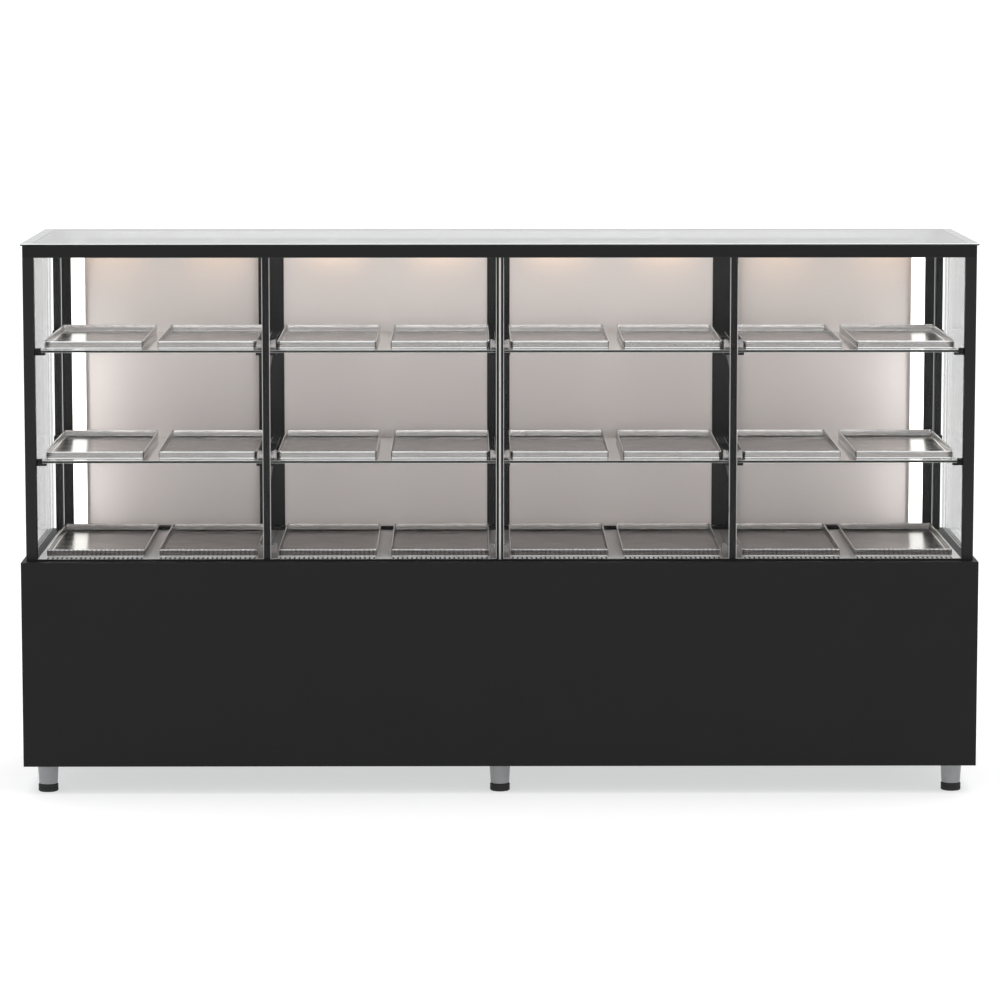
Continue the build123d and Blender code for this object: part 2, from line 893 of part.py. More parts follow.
for level, floor in tray_floors.items():
    for column, x in enumerate(tray_places(), start=1):
        place = Pos(x, (tray_front_y + tray_rear_y) / 2, floor)
        save(f"tray_{level}_{column}", [place * one_tray])
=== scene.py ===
"""Bakery display case: glazed on three sides, with a black frame and plinth and three levels of trays."""

import json
import math

import bmesh
import bpy
from bpy.props import FloatProperty, FloatVectorProperty, PointerProperty
from mathutils import Matrix, Vector


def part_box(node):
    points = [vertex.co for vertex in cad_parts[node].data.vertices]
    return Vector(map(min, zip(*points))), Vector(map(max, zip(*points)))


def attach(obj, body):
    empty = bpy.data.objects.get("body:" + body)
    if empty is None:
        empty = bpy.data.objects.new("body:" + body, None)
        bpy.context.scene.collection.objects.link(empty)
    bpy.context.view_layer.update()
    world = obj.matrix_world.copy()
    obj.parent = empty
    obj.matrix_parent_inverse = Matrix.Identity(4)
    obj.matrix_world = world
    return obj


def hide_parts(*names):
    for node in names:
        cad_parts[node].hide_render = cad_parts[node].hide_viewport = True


bl_info = {
    "name": "Bakery Display Case",
    "version": (1, 0, 0),
    "blender": (4, 5, 0),
    "location": "View3D > Sidebar > Display Case",
    "description": "Finishes, fittings and studio of a glazed bakery display case",
    "category": "Object",
}

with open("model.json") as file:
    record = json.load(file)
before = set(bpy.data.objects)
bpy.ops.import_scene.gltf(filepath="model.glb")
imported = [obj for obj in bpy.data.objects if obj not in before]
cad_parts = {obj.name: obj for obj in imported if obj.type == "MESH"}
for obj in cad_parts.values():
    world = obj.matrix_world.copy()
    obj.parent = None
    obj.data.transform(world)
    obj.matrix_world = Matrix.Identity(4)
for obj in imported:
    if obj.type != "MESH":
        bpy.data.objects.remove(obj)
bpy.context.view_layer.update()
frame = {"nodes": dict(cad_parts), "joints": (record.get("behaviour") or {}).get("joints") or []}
mm = 0.001
# Points nearer than this many metres are the same point.
same_point = 1e-6
# A face points along an axis when its normal reaches this far along it.
facing = 0.95
# Refractive index of float glass and of the enamel fired on it.
glass_index = 1.52
white = (1, 1, 1, 1)
# Tints of the lights that have no lamp of their own.
front_tint = (1.0, 0.975, 0.965)
wash_tint = (1.0, 0.99, 0.98)
body = "case"
doors = (1, 2, 3, 4)
tray_levels = ("upper", "middle", "lower")
tray_columns = range(1, 9)


# Colours and properties


def to_linear(code):
    """An sRGB hex colour as linear red, green, blue and alpha."""
    parts = [int(code[place : place + 2], 16) / 255 for place in (1, 3, 5)]
    linear = [part / 12.92 if part <= 0.04045 else ((part + 0.055) / 1.055) ** 2.4 for part in parts]
    return (*linear, 1.0)


def colour(name, description, code):
    """A colour that the user can change."""
    return FloatVectorProperty(
        name=name, description=description, subtype="COLOR", size=4, min=0, max=1, default=to_linear(code)
    )


def length(name, description, millimetres):
    """A length that the user can change."""
    return FloatProperty(
        name=name, description=description, default=millimetres * mm, min=0, unit="LENGTH", subtype="DISTANCE"
    )


def level(name, description, default):
    """A plain number that the user can change."""
    return FloatProperty(name=name, description=description, default=default, min=0)


class CaseColours(bpy.types.PropertyGroup):
    """Colours of the case."""

    plinth: colour("Plinth", "Powder coat of the plinth", "#111111")
    plinth_light: colour("Plinth, lighter", "Where the powder lies a little thinner", "#141414")
    frame: colour("Frame", "Black anodised posts, rails and stiles", "#131314")
    frame_light: colour("Frame, lighter", "Drawing lines of the black profiles", "#1B1B1C")
    steel: colour("Stainless steel", "Trays", "#B2B0AF")
    steel_dark: colour("Stainless steel, darker", "Brushing lines of the trays", "#918E8C")
    # Satin on the tray rims and on the band round each tray's lower edge also paints highlight lines there.
    satin: colour("Satin steel", "Satin deck sheets and polished tray rims", "#EFEEEE")
    satin_dark: colour("Satin steel, darker", "Brushing lines of the deck", "#D6D5D5")
    # Painted shade: near black on the deck's upright and lower faces, so that the walls of its slots read as
    # dark openings.
    slot_shade: colour("Cut edge", "Oxide on the laser-cut edges of the deck", "#161514")
    # Painted shade: a darker copy of the tray steel, for the lower level of trays and the clips on the deck.
    worn: colour("Worn steel", "Trays of the lower level and clips of the deck", "#8A8785")
    worn_dark: colour("Worn steel, darker", "Brushing lines of the worn steel", "#666361")
    zinc: colour("Zinc", "Galvanised sheets and screws", "#A8ABAD")
    zinc_dark: colour("Zinc, darker", "Darker crystals of the galvanised sheets", "#8F9396")
    tube: colour("Frame tube", "Painted steel tube inside the plinth", "#55585B")
    foot: colour("Feet", "Moulded cups of the levelling feet", "#8E8F90")
    rubber: colour("Rubber", "Foot pads and gaskets", "#1D1D1E")
    door: colour("Doors", "Opal door panes", "#E8E0DD")
    door_shade: colour("Doors, shade", "Cloudy shade in the opal panes", "#E2DAD7")
    edge: colour("Glass edge", "Polished glass edges, looked into", "#0E1211")
    arris: colour("Glass arris", "Ground chamfers of the glass", "#EDF0EF")
    enamel: colour("Enamel", "Fired border of the top glass", "#A3A5A5")
    # Painted shade: a darker copy of the enamel, for the band along the rear of the top glass.
    enamel_rear_shade: colour("Rear enamel", "Fired border along the rear of the top glass", "#8A8C8C")
    enamel_line: colour("Enamel line", "Lines along the fired border", "#3C3F41")
    # The pale lips beside the mullions take this colour too, as painted highlight lines.
    silicone: colour("Silicone", "Bead between the front panes", "#D6D3D1")
    aluminium: colour("Aluminium", "Lamp bar, lamp rims and driver", "#C4C6C8")
    plastic: colour("Black plastic", "Power panel and bezels", "#151516")
    brass: colour("Brass", "Contact pins", "#C9A86A")
    white_light: colour("White light", "Glow of the corner lamps", "#FFFEFA")
    warm_light: colour("Warm light", "Glow of the downlights", "#FFD29C")


class CaseSizes(bpy.types.PropertyGroup):
    """Sizes of the finishing details."""

    sheet_round: length("Sheet fold", "Rounding of folded sheet edges", 1.0)
    profile_round: length("Profile edge", "Rounding of extruded profile edges", 0.6)
    fine_round: length("Fine edge", "Rounding of small parts", 0.3)
    glass_arris: length("Glass arris", "Width of the ground chamfer on glass", 0.8)
    top_arris: length("Top arris", "Width of the ground chamfer on the top glass", 1.7)
    shelf_arris: length("Shelf arris", "Width of the ground chamfer on the shelves", 0.45)
    lip_width: length("Mullion lip", "Width of the clear lip at each side of a mullion", 1.7)
    border_side: length("Side border", "Enamel border at the sides of the top glass", 29)
    # The rear border is painted shade: it takes the darker enamel.
    border_rear_shade: length("Rear border", "Enamel border at the rear of the top glass", 41)
    border_line: length("Border line", "Width of the line along the border", 2.4)
    tray_wall: length("Tray sheet", "Thickness of the tray sheet", 1.2)
    tray_rim: length("Tray rim", "Reach of the rolled tray rim", 1.5)
    tray_corner: length("Tray corner", "Corner radius of the trays in plan", 6)
    tray_cove: length("Tray cove", "Radius between the tray floor and walls", 4.5)
    gasket: length("Gasket", "Width of the glazing gasket that shows", 1.6)
    lamp_foot: length("Lamp foot", "Height of the lower end cap of the corner lamps", 4)
    lamp_head: length("Lamp head", "Height of the upper end cap of the corner lamps", 14)
    clip_reach: length("Clip reach", "Half the width of the mullion clips", 22)
    clip_sheet: length("Clip sheet", "Thickness of the mullion clips", 1.5)
    clip_foot: length("Clip foot", "Length of the foot of the mullion clips", 14)
    deck_clip: length("Deck clip", "Height of the mullion clips on the deck", 35)
    shelf_clip: length("Shelf clip", "Height of the mullion clips on the shelves", 23)


class StudioLook(bpy.types.PropertyGroup):
    """Camera and lights."""

    camera_place: FloatVectorProperty(
        name="Camera", description="Camera position", unit="LENGTH", default=(-0.0713, -9.8412, 1.8674)
    )
    camera_pitch: FloatProperty(
        name="Pitch", description="Camera tilt below level", subtype="ANGLE", default=math.radians(7.066)
    )
    camera_yaw: FloatProperty(
        name="Yaw", description="Camera turn to the right", subtype="ANGLE", default=math.radians(0.427)
    )
    camera_lens: level("Lens", "Focal length in millimetres", 151.01)
    sky_front: level("Sky in front", "Brightness of the studio in front of the case", 0.85)
    sky_rear: level("Sky behind", "Brightness of the studio behind the case", 0.79)
    key_power: level("Key light", "Strength of the overhead soft light", 2.0)
    floor_glow: level("Floor glow", "Light that the floor itself gives", 0.53)
    downlight_power: level("Downlights", "Watts of each downlight", 0.042)
    corner_power: level("Corner lamps", "Watts of each corner lamp", 0.5)
    wash_power: level("Corner wash", "Watts that each corner lamp spills sideways over the doors", 0.36)
    wash_reach: length("Wash reach", "Distance of the sideways light from the doors", 110)
    rail_power: level("Rail light", "Watts of the light along the front rail", 1.1)
    shelf_power: level("Shelf light", "Watts of the light under the front edge of each shelf level", 1.5)


# Node and mesh helpers


def add_node(tree, kind, inputs=None, **settings):
    """Adds one node. An input given as a socket is linked, and any other value is set."""
    node = tree.nodes.new(kind)
    for name, value in settings.items():
        setattr(node, name, value)
    for name, value in (inputs or {}).items():
        if isinstance(value, bpy.types.NodeSocket):
            tree.links.new(value, node.inputs[name])
        else:
            node.inputs[name].default_value = value
    return node


def new_finish(name):
    """An empty material and its node tree."""
    made = bpy.data.materials.new(name)
    made.use_nodes = True
    made.node_tree.nodes.clear()
    return made, made.node_tree


def finished(made, surface):
    """Puts a surface shader on a material and returns the material."""
    add_node(made.node_tree, "ShaderNodeOutputMaterial", {"Surface": surface})
    return made


def pattern(tree, size_mm, stretch=(1, 1, 1), detail=2.0):
    """Noise whose grain has a real size in millimetres, drawn out along an axis by stretch."""
    place = add_node(tree, "ShaderNodeTexCoord").outputs["Object"]
    scale = [1 / part for part in stretch]
    drawn = add_node(tree, "ShaderNodeMapping", {"Vector": place, "Scale": scale}).outputs["Vector"]
    grain = {"Vector": drawn, "Scale": 1 / (size_mm * mm), "Detail": detail}
    return add_node(tree, "ShaderNodeTexNoise", grain).outputs["Fac"]


def drawn_out(axis, times):
    """Stretch along one axis, for the marks of brushing or drawing."""
    return [times if number == axis else 1 for number in range(3)]


def spread(tree, factor, low, high):
    """The middle of a pattern, stretched to run from low to high."""
    ends = {"Value": factor, "From Min": 0.3, "From Max": 0.7, "To Min": low, "To Max": high}
    return add_node(tree, "ShaderNodeMapRange", ends).outputs["Result"]


def blend(tree, factor, first, second):
    """A colour between two others."""
    return add_node(tree, "ShaderNodeMix", {0: factor, 6: first, 7: second}, data_type="RGBA").outputs[2]


def varied(tree, factor, low, high, shade):
    """A colour whose brightness follows a pattern from low to high."""
    value = spread(tree, factor, low, high)
    return add_node(tree, "ShaderNodeHueSaturation", {"Value": value, "Color": shade}).outputs["Color"]


def relief(tree, height, depth_mm, strength=1.0):
    """Bump of a real depth in millimetres."""
    inputs = {"Height": height, "Distance": depth_mm * mm, "Strength": strength}
    return add_node(tree, "ShaderNodeBump", inputs).outputs["Normal"]


def principled(tree, **inputs):
    """The main shader, with its inputs named by words joined with underscores."""
    named = {name.replace("_", " "): value for name, value in inputs.items()}
    return add_node(tree, "ShaderNodeBsdfPrincipled", named).outputs["BSDF"]


def shaded(made, **inputs):
    """Gives a material the main shader alone and returns the material."""
    return finished(made, principled(made.node_tree, **inputs))


def grained(name, base, size, rough, stretch=(1, 1, 1), detail=2.0, bump=None, fine=None, **inputs):
    """A finish whose tone, roughness and relief follow a grain of a size in millimetres.

    Base is one colour, two colours to blend, or the ends of a brightness and the colour that it varies.
    Rough is a range, and bump is a depth in millimetres and a strength. Fine is the size and the detail
    of a second grain, for the relief alone.
    """
    made, tree = new_finish(name)
    grain = pattern(tree, size, stretch, detail)
    if len(base) == 2:
        base = blend(tree, grain, *base)
    elif len(base) == 3:
        base = varied(tree, grain, *base)
    if bump:
        height = pattern(tree, fine[0], detail=fine[1]) if fine else grain
        inputs["Normal"] = relief(tree, height, *bump)
    return shaded(made, Base_Color=base, Roughness=spread(tree, grain, *rough), **inputs)


def solid_boxes(node):
    """Lowest and highest corner of each separate solid of a CAD node, from left to right."""
    mesh = bmesh.new()
    mesh.from_mesh(frame["nodes"][node].data)
    bmesh.ops.remove_doubles(mesh, verts=mesh.verts, dist=same_point)
    waiting = set(mesh.verts)
    boxes = []
    while waiting:
        reached = [waiting.pop()]
        for vert in reached:
            near = {edge.other_vert(vert) for edge in vert.link_edges} & waiting
            waiting -= near
            reached.extend(near)
        axes = list(zip(*(vert.co for vert in reached)))
        boxes.append((Vector([min(axis) for axis in axes]), Vector([max(axis) for axis in axes])))
    mesh.free()
    return sorted(boxes, key=lambda corners: tuple(corners[0]))


def shelf_tops():
    """Heights of the two levels of glass shelves."""
    return sorted({round(high.z, 4) for _, high in solid_boxes("glass_shelves")})


def plan_middle(low, high, height=0.0):
    """Point at one height in the middle of a box seen from above."""
    return Vector(((low.x + high.x) / 2, (low.y + high.y) / 2, height))


def add_block(mesh, low, high):
    """Adds a box between two corners to a mesh and returns its vertices."""
    low, high = Vector(low), Vector(high)
    place = Matrix.Translation((low + high) / 2) @ Matrix.Diagonal((*(high - low), 1))
    return bmesh.ops.create_cube(mesh, size=1, matrix=place)["verts"]


def soften(mesh, width, verts=None, segments=2):
    """Rounds the edges of the whole mesh or of some of its vertices."""
    edges = mesh.edges[:] if verts is None else list({edge for vert in verts for edge in vert.link_edges})
    bmesh.ops.bevel(mesh, geom=edges, offset=width, segments=segments, profile=0.5, affect="EDGES")


def join_part(mesh, part, place=None, slot=None):
    """Moves one bmesh into another, set in place by a matrix and given a material slot if asked."""
    bmesh.ops.recalc_face_normals(part, faces=part.faces)
    if place is not None:
        part.transform(place)
    if slot is not None:
        for face in part.faces:
            face.material_index = slot
    data = bpy.data.meshes.new("part")
    part.to_mesh(data)
    part.free()
    mesh.from_mesh(data)
    bpy.data.meshes.remove(data)


def spin(mesh, profile, centre, sides, slot=0, upright=True):
    """Spins (radius, distance) points about an upright axis through centre, or about one along Y."""
    part = bmesh.new()
    ends = [(radius, 0, along) if upright else (radius, along, 0) for radius, along in profile]
    verts = [part.verts.new(end) for end in ends]
    edges = [part.edges.new(pair) for pair in zip(verts, verts[1:])]
    axis = (0, 0, 1) if upright else (0, 1, 0)
    bmesh.ops.spin(part, geom=verts + edges, axis=axis, cent=(0, 0, 0), angle=math.tau, steps=sides)
    bmesh.ops.remove_doubles(part, verts=part.verts, dist=same_point)
    join_part(mesh, part, Matrix.Translation(centre), slot)


def around(ring):
    """Each item of a closed ring, with the one after it."""
    return zip(ring, ring[1:] + ring[:1])


def join_rings(mesh, first, second):
    """Adds the faces between two closed rings of equally many points."""
    for (near, next_near), (far, next_far) in zip(around(first), around(second)):
        mesh.faces.new((near, next_near, next_far, far))


def mesh_data(name, mesh, finishes):
    """Turns a bmesh into mesh data with its materials."""
    data = bpy.data.meshes.new(name)
    mesh.to_mesh(data)
    mesh.free()
    for finish in finishes:
        data.materials.append(finish)
    return data


def add_object(name, data, place=(0, 0, 0), turn=(0, 0, 0)):
    """Puts a mesh, a light or a camera into the scene."""
    made = bpy.data.objects.new(name, data)
    made.location, made.rotation_euler = place, turn
    bpy.context.scene.collection.objects.link(made)
    return made


def add_piece(name, mesh, finishes, slot, rides=body, stands_for=(), place=(0, 0, 0)):
    """Makes a piece of the case from a bmesh or a ready mesh, and ties it to its body."""
    data = mesh
    if isinstance(mesh, bmesh.types.BMesh):
        data = mesh_data(name, mesh, finishes)
        data.shade_smooth()
        data.set_sharp_from_angle(angle=math.radians(35))
    piece = add_object(name, data, place)
    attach(piece, rides)
    if stands_for:
        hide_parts(*stands_for)
    return piece


def dress(node, finish, rounding=0.0):
    """Gives a carried-over CAD node its finish, and rounds its sharp edges."""
    piece = frame["nodes"][node]
    for place in piece.material_slots:
        place.material = finish
    if rounding:
        piece.modifiers.new("Join edges", "WELD").merge_threshold = same_point
        flat = piece.modifiers.new("Join flats", "DECIMATE")
        flat.decimate_type = "DISSOLVE"
        flat.angle_limit = math.radians(0.5)
        bevel = piece.modifiers.new("Round edges", "BEVEL")
        bevel.width = rounding
        bevel.segments = 2
        bevel.limit_method = "ANGLE"
        bevel.angle_limit = math.radians(40)
        bevel.harden_normals = True
    return piece


# Finishes


def powder_coated_steel(colours):
    """Black polyester powder coat, sprayed and baked on steel sheet: an even satin with a fine pebble."""
    # The pebble of the coat is about 0.4 mm and is drawn at 2 mm, so that it shows.
    pebble = {"fine": (2, 3.0), "bump": (0.08, 0.5), "Specular_IOR_Level": 0.21}
    return grained("powder_coated_steel", (colours.plinth, colours.plinth_light), 140, (0.50, 0.58), **pebble)


def anodised_profile(name, colours, along, sheen=0.17):
    """Black anodised aluminium extrusion: a soft dark shine with faint lines along its length."""
    # Drawing lines are about 0.3 mm apart and are drawn at 1.2 mm.
    shades = (colours.frame, colours.frame_light)
    stretch = drawn_out(along, 60)
    return grained(name, shades, 1.2, (0.34, 0.46), stretch, 3.0, (0.03, 0.2), Specular_IOR_Level=sheen)


def brushed_stainless(name, colours, tone, along, rough, slot_shade=None):
    """Brushed stainless steel: cool grey metal, streaked along the brushing, and where asked with painted
    shade on its upright and lower faces.

    Tone is the name of a colour that has a darker partner.
    """
    made, tree = new_finish(name)
    # Brushing scratches are about 0.1 mm wide and are drawn at 0.9 mm, too shallow for any relief.
    lines = pattern(tree, 0.9, drawn_out(along, 90), 4.0)
    cloud = pattern(tree, 90)
    streak = add_node(tree, "ShaderNodeMath", {0: lines, 1: cloud, 2: 0.25}, operation="MULTIPLY_ADD")
    shade = blend(tree, streak.outputs[0], getattr(colours, tone + "_dark"), getattr(colours, tone))
    # Painted shade: the less a face looks up, the nearer it comes to the dark colour, so the slot walls and
    # the underside are painted dark.
    if slot_shade:
        surface = add_node(tree, "ShaderNodeNewGeometry")
        axes = add_node(tree, "ShaderNodeSeparateXYZ", {"Vector": surface.outputs["True Normal"]})
        shade = blend(tree, axes.outputs["Z"], slot_shade, shade)
    return shaded(made, Base_Color=shade, Metallic=1.0, Roughness=spread(tree, lines, *rough))


def galvanised_steel(colours):
    """Hot-dip galvanised sheet: grey zinc with large soft crystals."""
    made, tree = new_finish("galvanised_steel")
    place = add_node(tree, "ShaderNodeTexCoord")
    # Zinc crystals are 8 to 15 mm across.
    inputs = {"Vector": place.outputs["Object"], "Scale": 1 / (12 * mm)}
    crystals = add_node(tree, "ShaderNodeTexVoronoi", inputs)
    shade = add_node(tree, "ShaderNodeSeparateColor", {"Color": crystals.outputs["Color"]})
    return shaded(
        made,
        Base_Color=blend(tree, shade.outputs["Red"], colours.zinc_dark, colours.zinc),
        Metallic=1.0,
        Roughness=spread(tree, shade.outputs["Green"], 0.38, 0.5),
        Normal=relief(tree, shade.outputs["Red"], 0.01),
    )


def zinc_plate(colours):
    """Zinc-plated screw steel: small, bright and slightly mottled."""
    return grained("zinc_plate", (colours.zinc_dark, colours.zinc), 1.5, (0.22, 0.38), Metallic=1.0)


def painted_tube(colours):
    """Primer-painted steel tube: matt grey with a faint orange peel."""
    return grained("painted_tube", colours.tube, 3, (0.45, 0.6), bump=(0.1, 0.5))


def moulded_nylon(colours):
    """Grey glass-filled nylon, injection moulded: satin, with a fine spark-eroded texture."""
    made, tree = new_finish("moulded_nylon")
    # The mould texture is about 0.3 mm and is drawn at 0.8 mm.
    grain = pattern(tree, 0.8, detail=3.0)
    cloud = pattern(tree, 25)
    return shaded(
        made,
        Base_Color=varied(tree, cloud, 0.92, 1.04, colours.foot),
        Roughness=spread(tree, grain, 0.36, 0.5),
        Normal=relief(tree, grain, 0.05, 0.5),
    )


def moulded_rubber(colours):
    """Black moulded rubber: nearly matt, a little dusty."""
    skin = {"detail": 4.0, "fine": (0.8, 2.0), "bump": (0.04, 0.5)}
    return grained("moulded_rubber", (0.85, 1.35, colours.rubber), 6, (0.65, 0.85), **skin)


def black_abs(colours):
    """Black ABS, injection moulded: satin with a fine grain."""
    return grained("black_abs", colours.plastic, 0.6, (0.35, 0.5), detail=3.0, bump=(0.03, 0.5))


def float_glass(name, index=glass_index, body_share=1.0, tint="#FBFDFC"):
    """Toughened float glass: clear and mirror smooth. Lamps shine through it without a shadow."""
    made, tree = new_finish(name)
    smear = pattern(tree, 180, detail=1.0)
    glass = principled(
        tree,
        Base_Color=to_linear(tint),
        Roughness=spread(tree, smear, 0.0, 0.012),
        IOR=index,
        Transmission_Weight=1.0,
        Alpha=body_share,
    )
    rays = add_node(tree, "ShaderNodeLightPath")
    clear = add_node(tree, "ShaderNodeBsdfTransparent", {"Color": to_linear(tint)})
    shaders = {0: rays.outputs["Is Shadow Ray"], 1: glass, 2: clear.outputs["BSDF"]}
    return finished(made, add_node(tree, "ShaderNodeMixShader", shaders).outputs["Shader"])


def polished_glass_edge(colours):
    """Polished edge of float glass, looked into: deep bottle green with a hard gloss."""
    made, tree = new_finish("polished_glass_edge")
    depth = pattern(tree, 30, (8, 8, 1))
    tone = varied(tree, depth, 0.8, 1.3, colours.edge)
    return shaded(made, Base_Color=tone, Roughness=0.12, IOR=glass_index)


def ground_glass_arris(colours):
    """Ground chamfer along glass edges: a thin frosted line that catches the light."""
    frost = {"detail": 3.0, "bump": (0.02, 0.5)}
    return grained("ground_glass_arris", colours.arris, 1.5, (0.35, 0.55), **frost, IOR=glass_index)


def fired_enamel(name, shade):
    """Ceramic enamel fired on the glass border: opaque, smooth and slightly uneven in tone."""
    return grained(name, (0.97, 1.03, shade), 60, (0.1, 0.18), IOR=glass_index)


def cured_silicone(colours):
    """Clear silicone, tooled smooth: a milky, softly shining bead."""
    light = {"IOR": 1.41, "Transmission_Weight": 0.25}
    return grained("cured_silicone", colours.silicone, 8, (0.25, 0.38), (1, 1, 3), bump=(0.1, 1.0), **light)


def opal_acrylic(colours):
    """Opal acrylic sheet, cast: white through and through, with a faint cloud and a soft gloss."""
    skin = {"detail": 3.0, "fine": (45, 2.0), "bump": (0.05, 0.3), "IOR": 1.49}
    return grained("opal_acrylic", (colours.door_shade, colours.door), 220, (0.28, 0.38), **skin)


def glowing_lens(name, tint, strength):
    """Lit opal polycarbonate lens: even light under a satin skin."""
    glow = {"Emission_Color": tint, "Emission_Strength": strength}
    return grained(name, tint, 1.2, (0.3, 0.42), (1, 1, 40), **glow)


def anodised_aluminium(colours):
    """Clear anodised aluminium: pale satin metal with faint lines along its length."""
    shade, stretch = colours.aluminium, drawn_out(0, 60)
    return grained("anodised_aluminium", shade, 1.0, (0.3, 0.42), stretch, 3.0, (0.02, 0.5), Metallic=1.0)


def contact_brass(colours):
    """Nickel-washed brass contacts: pale warm metal, drawn smooth."""
    return grained("contact_brass", colours.brass, 0.5, (0.2, 0.35), drawn_out(1, 20), Metallic=1.0)


def printed_mark():
    """White tampo-printed marks: thin matt paint."""
    return grained("printed_mark", to_linear("#E4E4E2"), 1.0, (0.5, 0.65))


# Pieces

# Material slots of the glass.
on_face, on_edge, on_arris, on_enamel, on_line, on_rear_shade = range(6)
# Section of a raised ring and of a pan head, in shares of its width or radius and of its height.
ring_section = ((0, 0), (0, 0.7), (0.25, 1), (0.8, 1), (1, 0.6), (1, 0))
head_section = ((1.0, 0.0), (1.0, 0.35), (0.92, 0.7), (0.78, 0.92), (0.62, 1.0))


def glass_mesh(boxes, arris):
    """Panes with a ground arris, whose faces, edges and chamfers have their own material slots."""
    mesh = bmesh.new()
    for low, high in boxes:
        pane = bmesh.new()
        add_block(pane, low, high)
        soften(pane, arris, segments=1)
        pane.normal_update()
        size = high - low
        thin = min(range(3), key=lambda axis: size[axis])
        for face in pane.faces:
            turned = abs(face.normal[thin])
            face.material_index = on_face if turned > facing else on_edge if turned < 1 - facing else on_arris
        join_part(mesh, pane)
    return mesh


def rounded_outline(half_x, half_y, corner, height, steps=6):
    """Points of a rectangle with rounded corners, at one height."""
    points = []
    for number, (side_x, side_y) in enumerate(((1, 1), (-1, 1), (-1, -1), (1, -1))):
        for step in range(steps + 1):
            angle = math.radians(90 * (number + step / steps))
            x = side_x * (half_x - corner) + corner * math.cos(angle)
            y = side_y * (half_y - corner) + corner * math.sin(angle)
            points.append((x, y, height))
    return points


def tray_mesh(size, sizes):
    """Pressed tray: coved floor, upright walls and a rolled rim, standing on the origin."""
    wall, rim, cove, corner = sizes.tray_wall, sizes.tray_rim, sizes.tray_cove, sizes.tray_corner
    top = size.z
    half_x = size.x / 2 - rim
    half_y = size.y / 2 - rim
    inside = []
    for step in range(6):
        angle = math.radians(18 * step)
        inside.append((-wall - cove + cove * math.sin(angle), wall + cove - cove * math.cos(angle)))
    bead = rim / 2
    roll = []
    for step in range(11):
        angle = math.radians(180 - 27 * step)
        width = bead if angle < math.pi / 2 else bead + wall
        roll.append((bead + width * math.cos(angle), top - bead + bead * math.sin(angle)))
    # The wall below the rim, and the rounding under the tray.
    under = [(0.0, top - 2 * rim), (0.0, wall + 2 * mm), (-0.8 * mm, 0.8 * mm), (-2.5 * mm, 0.0)]
    mesh = bmesh.new()
    rings = []
    for offset, height in inside + roll + under:
        outline = rounded_outline(half_x + offset, half_y + offset, max(corner + offset, 0.4 * mm), height)
        rings.append([mesh.verts.new(point) for point in outline])
    # The rim, which is polished, and the band round the lower edge take the brighter steel; on both it also
    # paints highlight lines.
    polish_and_highlight = [*range(len(inside), len(inside) + len(roll)), len(rings) - 3]
    for place, (first, second) in enumerate(zip(rings, rings[1:])):
        for (near, next_near), (far, next_far) in zip(around(first), around(second)):
            mesh.faces.new((near, far, next_far, next_near)).material_index = int(place in polish_and_highlight)
    mesh.faces.new(rings[0])
    mesh.faces.new(rings[-1])
    bmesh.ops.recalc_face_normals(mesh, faces=mesh.faces)
    return mesh


def rear_ring(mesh, centre, half, width, depth, corner):
    """Flat ring round an opening in a rear face. Centre is on the face, and half is half the opening."""
    part = bmesh.new()
    loops = []
    for across, out in ring_section:
        grow = width * across
        outline = rounded_outline(half[0] + grow, half[1] + grow, corner + grow, depth * out)
        loops.append([part.verts.new((centre[0] + x, centre[1] + y, centre[2] + z)) for x, z, y in outline])
    for first, second in around(loops):
        join_rings(part, first, second)
    join_part(mesh, part)


def cross_recess_screw(mesh, place, radius, height, sides=28):
    """Pan head with a cross recess, facing along Y and seated where the matrix puts it."""
    part = bmesh.new()
    turns = [math.tau * step / sides for step in range(sides)]
    rings = []
    for share, rise in head_section:
        reach, along = radius * share, height * rise
        points = [(reach * math.cos(turn), along, reach * math.sin(turn)) for turn in turns]
        rings.append([part.verts.new(point) for point in points])
    for first, second in zip(rings, rings[1:]):
        join_rings(part, first, second)
    arm, reach = radius * 0.13, radius * 0.45
    corners = []
    for quarter in range(4):
        cosine, sine = math.cos(math.radians(90 * quarter)), math.sin(math.radians(90 * quarter))
        for along, across in ((reach, -arm), (reach, arm), (arm, arm)):
            corners.append((along * cosine - across * sine, along * sine + across * cosine))
    # The recess narrows to this share of its width, and its floor is at this share of the height.
    taper, depth = 0.8, 0.35
    rim = [part.verts.new((x, height, z)) for x, z in corners]
    floor = [part.verts.new((x * taper, height * depth, z * taper)) for x, z in corners]
    join_rings(part, rim, floor)
    part.faces.new(floor)
    edges = [edge for edge in part.edges if all(vert in rings[-1] for vert in edge.verts)]
    edges += [part.edges.get(pair) for pair in around(rim)]
    bmesh.ops.triangle_fill(part, edges=edges, use_beauty=True)
    join_part(mesh, part, place)


def screw_shank(length_along, radius=2.0 * mm, pitch=0.8 * mm):
    """Profile of a threaded shank, from its tip to the seat of the head."""
    root = radius * 0.82
    profile = [(0.0, 0.0), (radius * 0.5, 0.0)]
    for turn in range(int(length_along / pitch)):
        profile += [(root, pitch * (turn + 0.25)), (radius, pitch * (turn + 0.75))]
    return [*profile, (root, length_along)]


